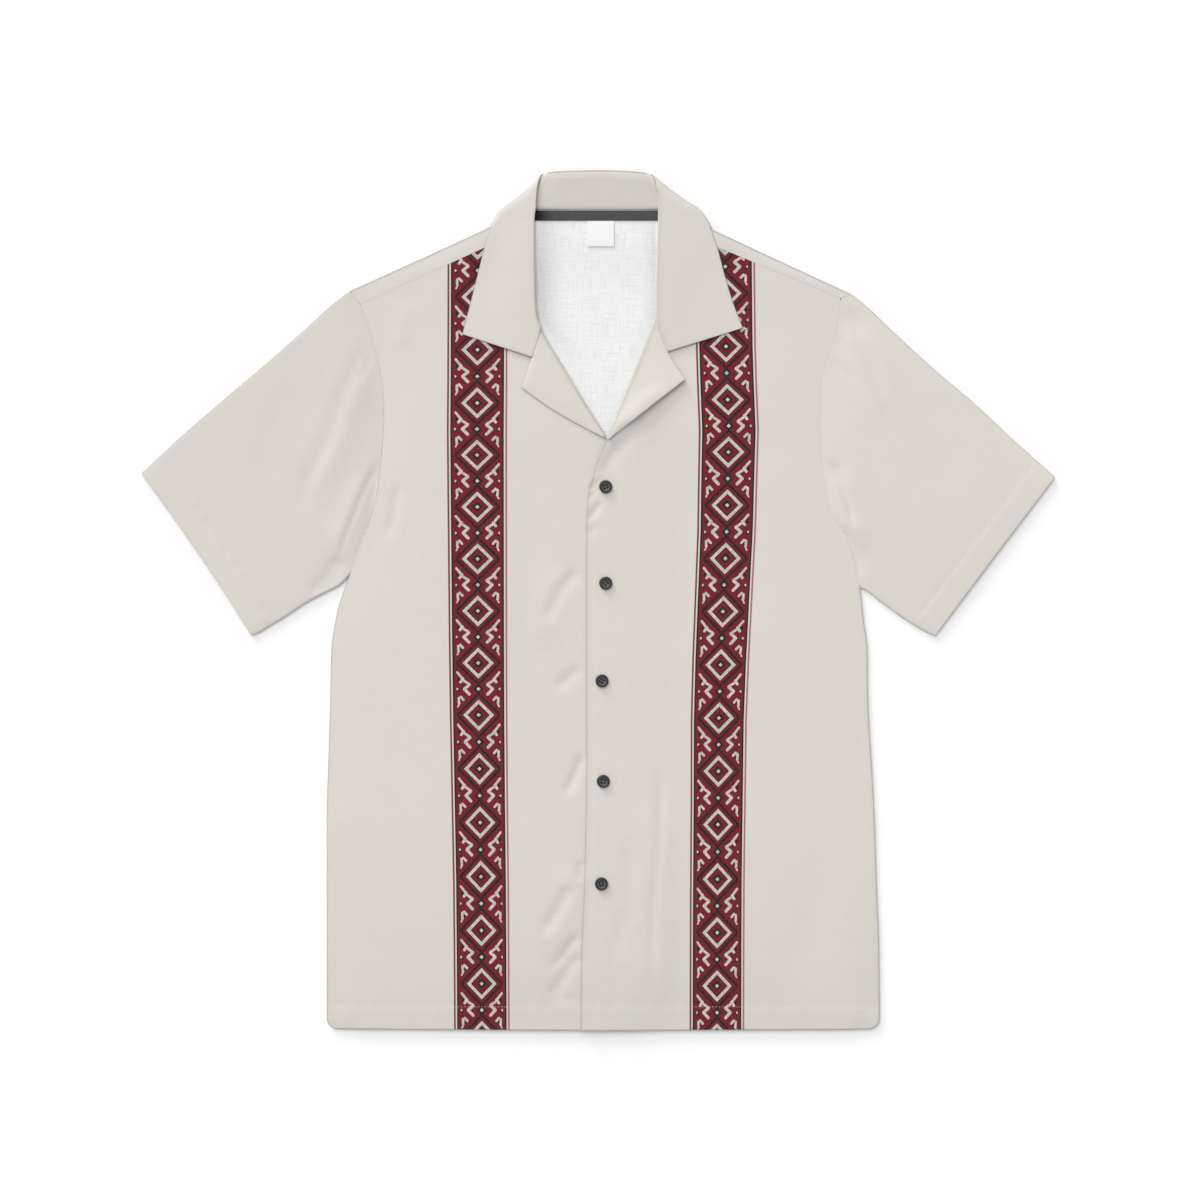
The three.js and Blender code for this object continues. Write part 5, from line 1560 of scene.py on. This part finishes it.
def stitch_row(mesh, path, length=STITCH_LONG, gap=STITCH_GAP, radius=STITCH_RADIUS):
    """Adds a row of short tapered threads along a path that lies on the cloth's face."""
    path = np.asarray(path, float)
    gone = np.concatenate([[0], np.cumsum(np.linalg.norm(np.diff(path, axis=0), axis=1))])
    starts = np.arange(gap, gone[-1] - length, length + gap)
    n = STITCH_SIDES
    ring = np.arange(n) * TAU / n
    faces = [[0, 1 + (k + 1) % n, 1 + k] for k in range(n)]
    faces += [[1 + k, 1 + (k + 1) % n, 1 + n + (k + 1) % n, 1 + n + k] for k in range(n)]
    faces += [[1 + 2 * n, 1 + n + k, 1 + n + (k + 1) % n] for k in range(n)]
    for start in starts:
        at = start + length * np.array([0, 0.25, 0.75, 1])
        p = np.stack([np.interp(at, gone, path[:, k]) for k in range(3)], -1)
        p[[0, 3], 2] -= radius * 0.7
        run = unit(p[2] - p[1])
        beside = unit(np.cross(run, [0, 0, 1]))
        hoop = np.cos(ring)[:, None] * beside + np.sin(ring)[:, None] * np.cross(beside, run)
        points = np.concatenate([[p[0]], p[1] + hoop * radius, p[2] + hoop * radius, [p[3]]])
        mesh.add(points, faces, [0] * len(faces))


def on_cloth(plan, height, lift=THICK / 2):
    plan = np.asarray(plan, float)
    return np.concatenate([plan, (height(plan[:, 0], plan[:, 1]) + lift)[:, None]], -1)


def hem_path(start, end):
    xs = np.arange(start, end, HEM_PATH_STEP)
    return np.stack([xs, np.full_like(xs, HEM_STITCH_Y)], -1)


def stitches(name, rows, thread=None, **sizes):
    mesh = Mesh()
    for path in rows:
        stitch_row(mesh, path, **sizes)
    return mesh.build(name, [thread or cream_thread], 80)


# the hem's row on each front, which stops beside the lap's edge, and the row beside that edge
right_side, left_side = (float(x) for x in sides(HEM_STITCH_Y))
right_row = hem_path(right_side + HEM_PATH_STEP, -17.5)
right_hem = stitches("right_front_stitches", [on_cloth(right_row, sewn(front_middle))])
edge_y = np.arange(-392.0, 112.0, 2.0)
edge_x = np.interp(edge_y, BODY["lEdgeY"], BODY["lEdgeX"])
placket_row = np.stack([edge_x + PLACKET_STITCH_IN, edge_y], -1)
left_rows = [hem_path(-14.5, left_side - HEM_PATH_STEP), placket_row]
left_hem = stitches("left_front_stitches", [on_cloth(row, sewn(left_front_middle)) for row in left_rows])
# the back's row is sunk into the face that lies down
back_row = hem_path(BODY["rSideX"][6] + HEM_PATH_STEP, BODY["lSideX"][6] - HEM_PATH_STEP)
back_hem = stitches("back_stitches", [on_cloth(back_row, back_laid, SINK - THICK / 2)])
right_cuff = stitches("right_sleeve_stitches", right_cuff_rows)
left_cuff = stitches("left_sleeve_stitches", left_cuff_rows)

# The dark threads that hold the buttons: two bars from hole to hole on each
BAR_Z, BAR_OVER = 1.66, 1.1
bars = []
for number, centre in enumerate(BUTTON_CENTRES, 1):
    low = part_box(f"button_{number}")[0]
    for across in (-HOLE_SIDE, HOLE_SIDE):
        ends = np.array([(across, up * HOLE_SIDE, 0) for up in (-BAR_OVER, BAR_OVER)])
        bars.append(spun(ends, number) + np.array([*centre, low.z / MM + BAR_Z]))
button_threads = stitches("button_threads", bars, dark_thread, length=2.9, gap=0.1, radius=0.24)

tack = on_cloth([(-1.6, 352.4), (-1.6, 355.0)], back_middle, LAYER - 0.02)
tape_tack = stitches("neck_tape_tack", [tack], dark_thread, length=2.4, gap=0.1)

# Floor, camera and light
FLOOR_SIZE, FLOOR_Z = 30, -0.0004
bpy.ops.mesh.primitive_plane_add(size=FLOOR_SIZE, location=(0, 0, FLOOR_Z))
floor = bpy.context.object
floor.name = "floor"
g = Graph("floor_white")
where = g.node("NewGeometry").outputs["Position"]
paper = g.noise(where, 60.0, 2.0)
g.put(g.shader.inputs["Base Color"], g.mix(paper, (0.96, 0.96, 0.96, 1), (0.98, 0.98, 0.98, 1)))
g.shader.inputs["Roughness"].default_value = 1.0
g.shader.inputs["Specular IOR Level"].default_value = 0.0
floor.data.materials.append(g.material)

# The camera looks straight down on the point that is in the middle of the photo
PHOTO_SIDE = 1200
PHOTO_X = 598.5
PHOTO_CENTRE = ((PHOTO_SIDE / 2 - PHOTO_X) * PIXEL_MM, (PHOTO_Y - PHOTO_SIDE / 2) * PIXEL_MM)
CAMERA_HEIGHT = 3.2
SENSOR = 36
GARMENT_TOP = 0.005
camera = bpy.data.objects.new("camera", bpy.data.cameras.new("camera"))
SCENE.collection.objects.link(camera)
camera.location = (PHOTO_CENTRE[0] * MM + SHIFT[0], PHOTO_CENTRE[1] * MM + SHIFT[1], CAMERA_HEIGHT)
camera.data.sensor_width = SENSOR
camera.data.lens = SENSOR * (CAMERA_HEIGHT - GARMENT_TOP) / (PHOTO_SIDE * PIXEL_MM * MM)
camera.data.clip_end = 100
SCENE.camera = camera


def sun(name, azimuth, elevation, spread, strength):
    """A soft distant light. Azimuth 0 is from the top of the photo, and positive turns to the left."""
    a, e = math.radians(azimuth), math.radians(elevation)
    away = Vector((-math.sin(a) * math.cos(e), math.cos(a) * math.cos(e), math.sin(e)))
    data = bpy.data.lights.new(name, "SUN")
    data.energy, data.angle = strength, math.radians(spread)
    light = bpy.data.objects.new(name, data)
    SCENE.collection.objects.link(light)
    light.location = away * 3
    light.rotation_mode = "QUATERNION"
    light.rotation_quaternion = (-away).to_track_quat("-Z", "Y")
    return light


# A broad light, and a low one that draws the creases, over an even white surround
SUNS = [("key", 30, 52, 45, 1.60), ("low", 28, 16, 16, 1.50)]
SURROUND = 0.50
for one in SUNS:
    sun(*one)
world = bpy.data.worlds.new("studio") if SCENE.world is None else SCENE.world
SCENE.world = world
world.use_nodes = True
background = world.node_tree.nodes["Background"]
background.inputs[0].default_value = (1, 1, 1, 1)
background.inputs[1].default_value = SURROUND
SCENE.view_settings.view_transform = "Standard"
SCENE.view_settings.look = "None"

# Bodies: every piece hangs on the root body, and the solid it stands for is hidden
PIECES = [
    (back, "back", "cloth"),
    (right_front, "right_front", "cloth_banded"),
    (left_front, "left_front", "cloth_banded"),
    (right_sleeve, "right_sleeve", "cloth"),
    (left_sleeve, "left_sleeve", "cloth"),
    (collar, "collar", "cloth"),
    (tape, "neck_tape", "tape"),
    (label, "care_label", "label"),
]
PIECES += [(button, f"button_{n}", "button") for n, button in enumerate(buttons, 1)]
for piece, node, slot in PIECES:
    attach(piece, "root")
    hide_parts(node)
for piece in (right_hem, left_hem, back_hem, right_cuff, left_cuff):
    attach(piece, "root")
for piece, slot in ((button_threads, "button"), (tape_tack, "tape")):
    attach(piece, "root")
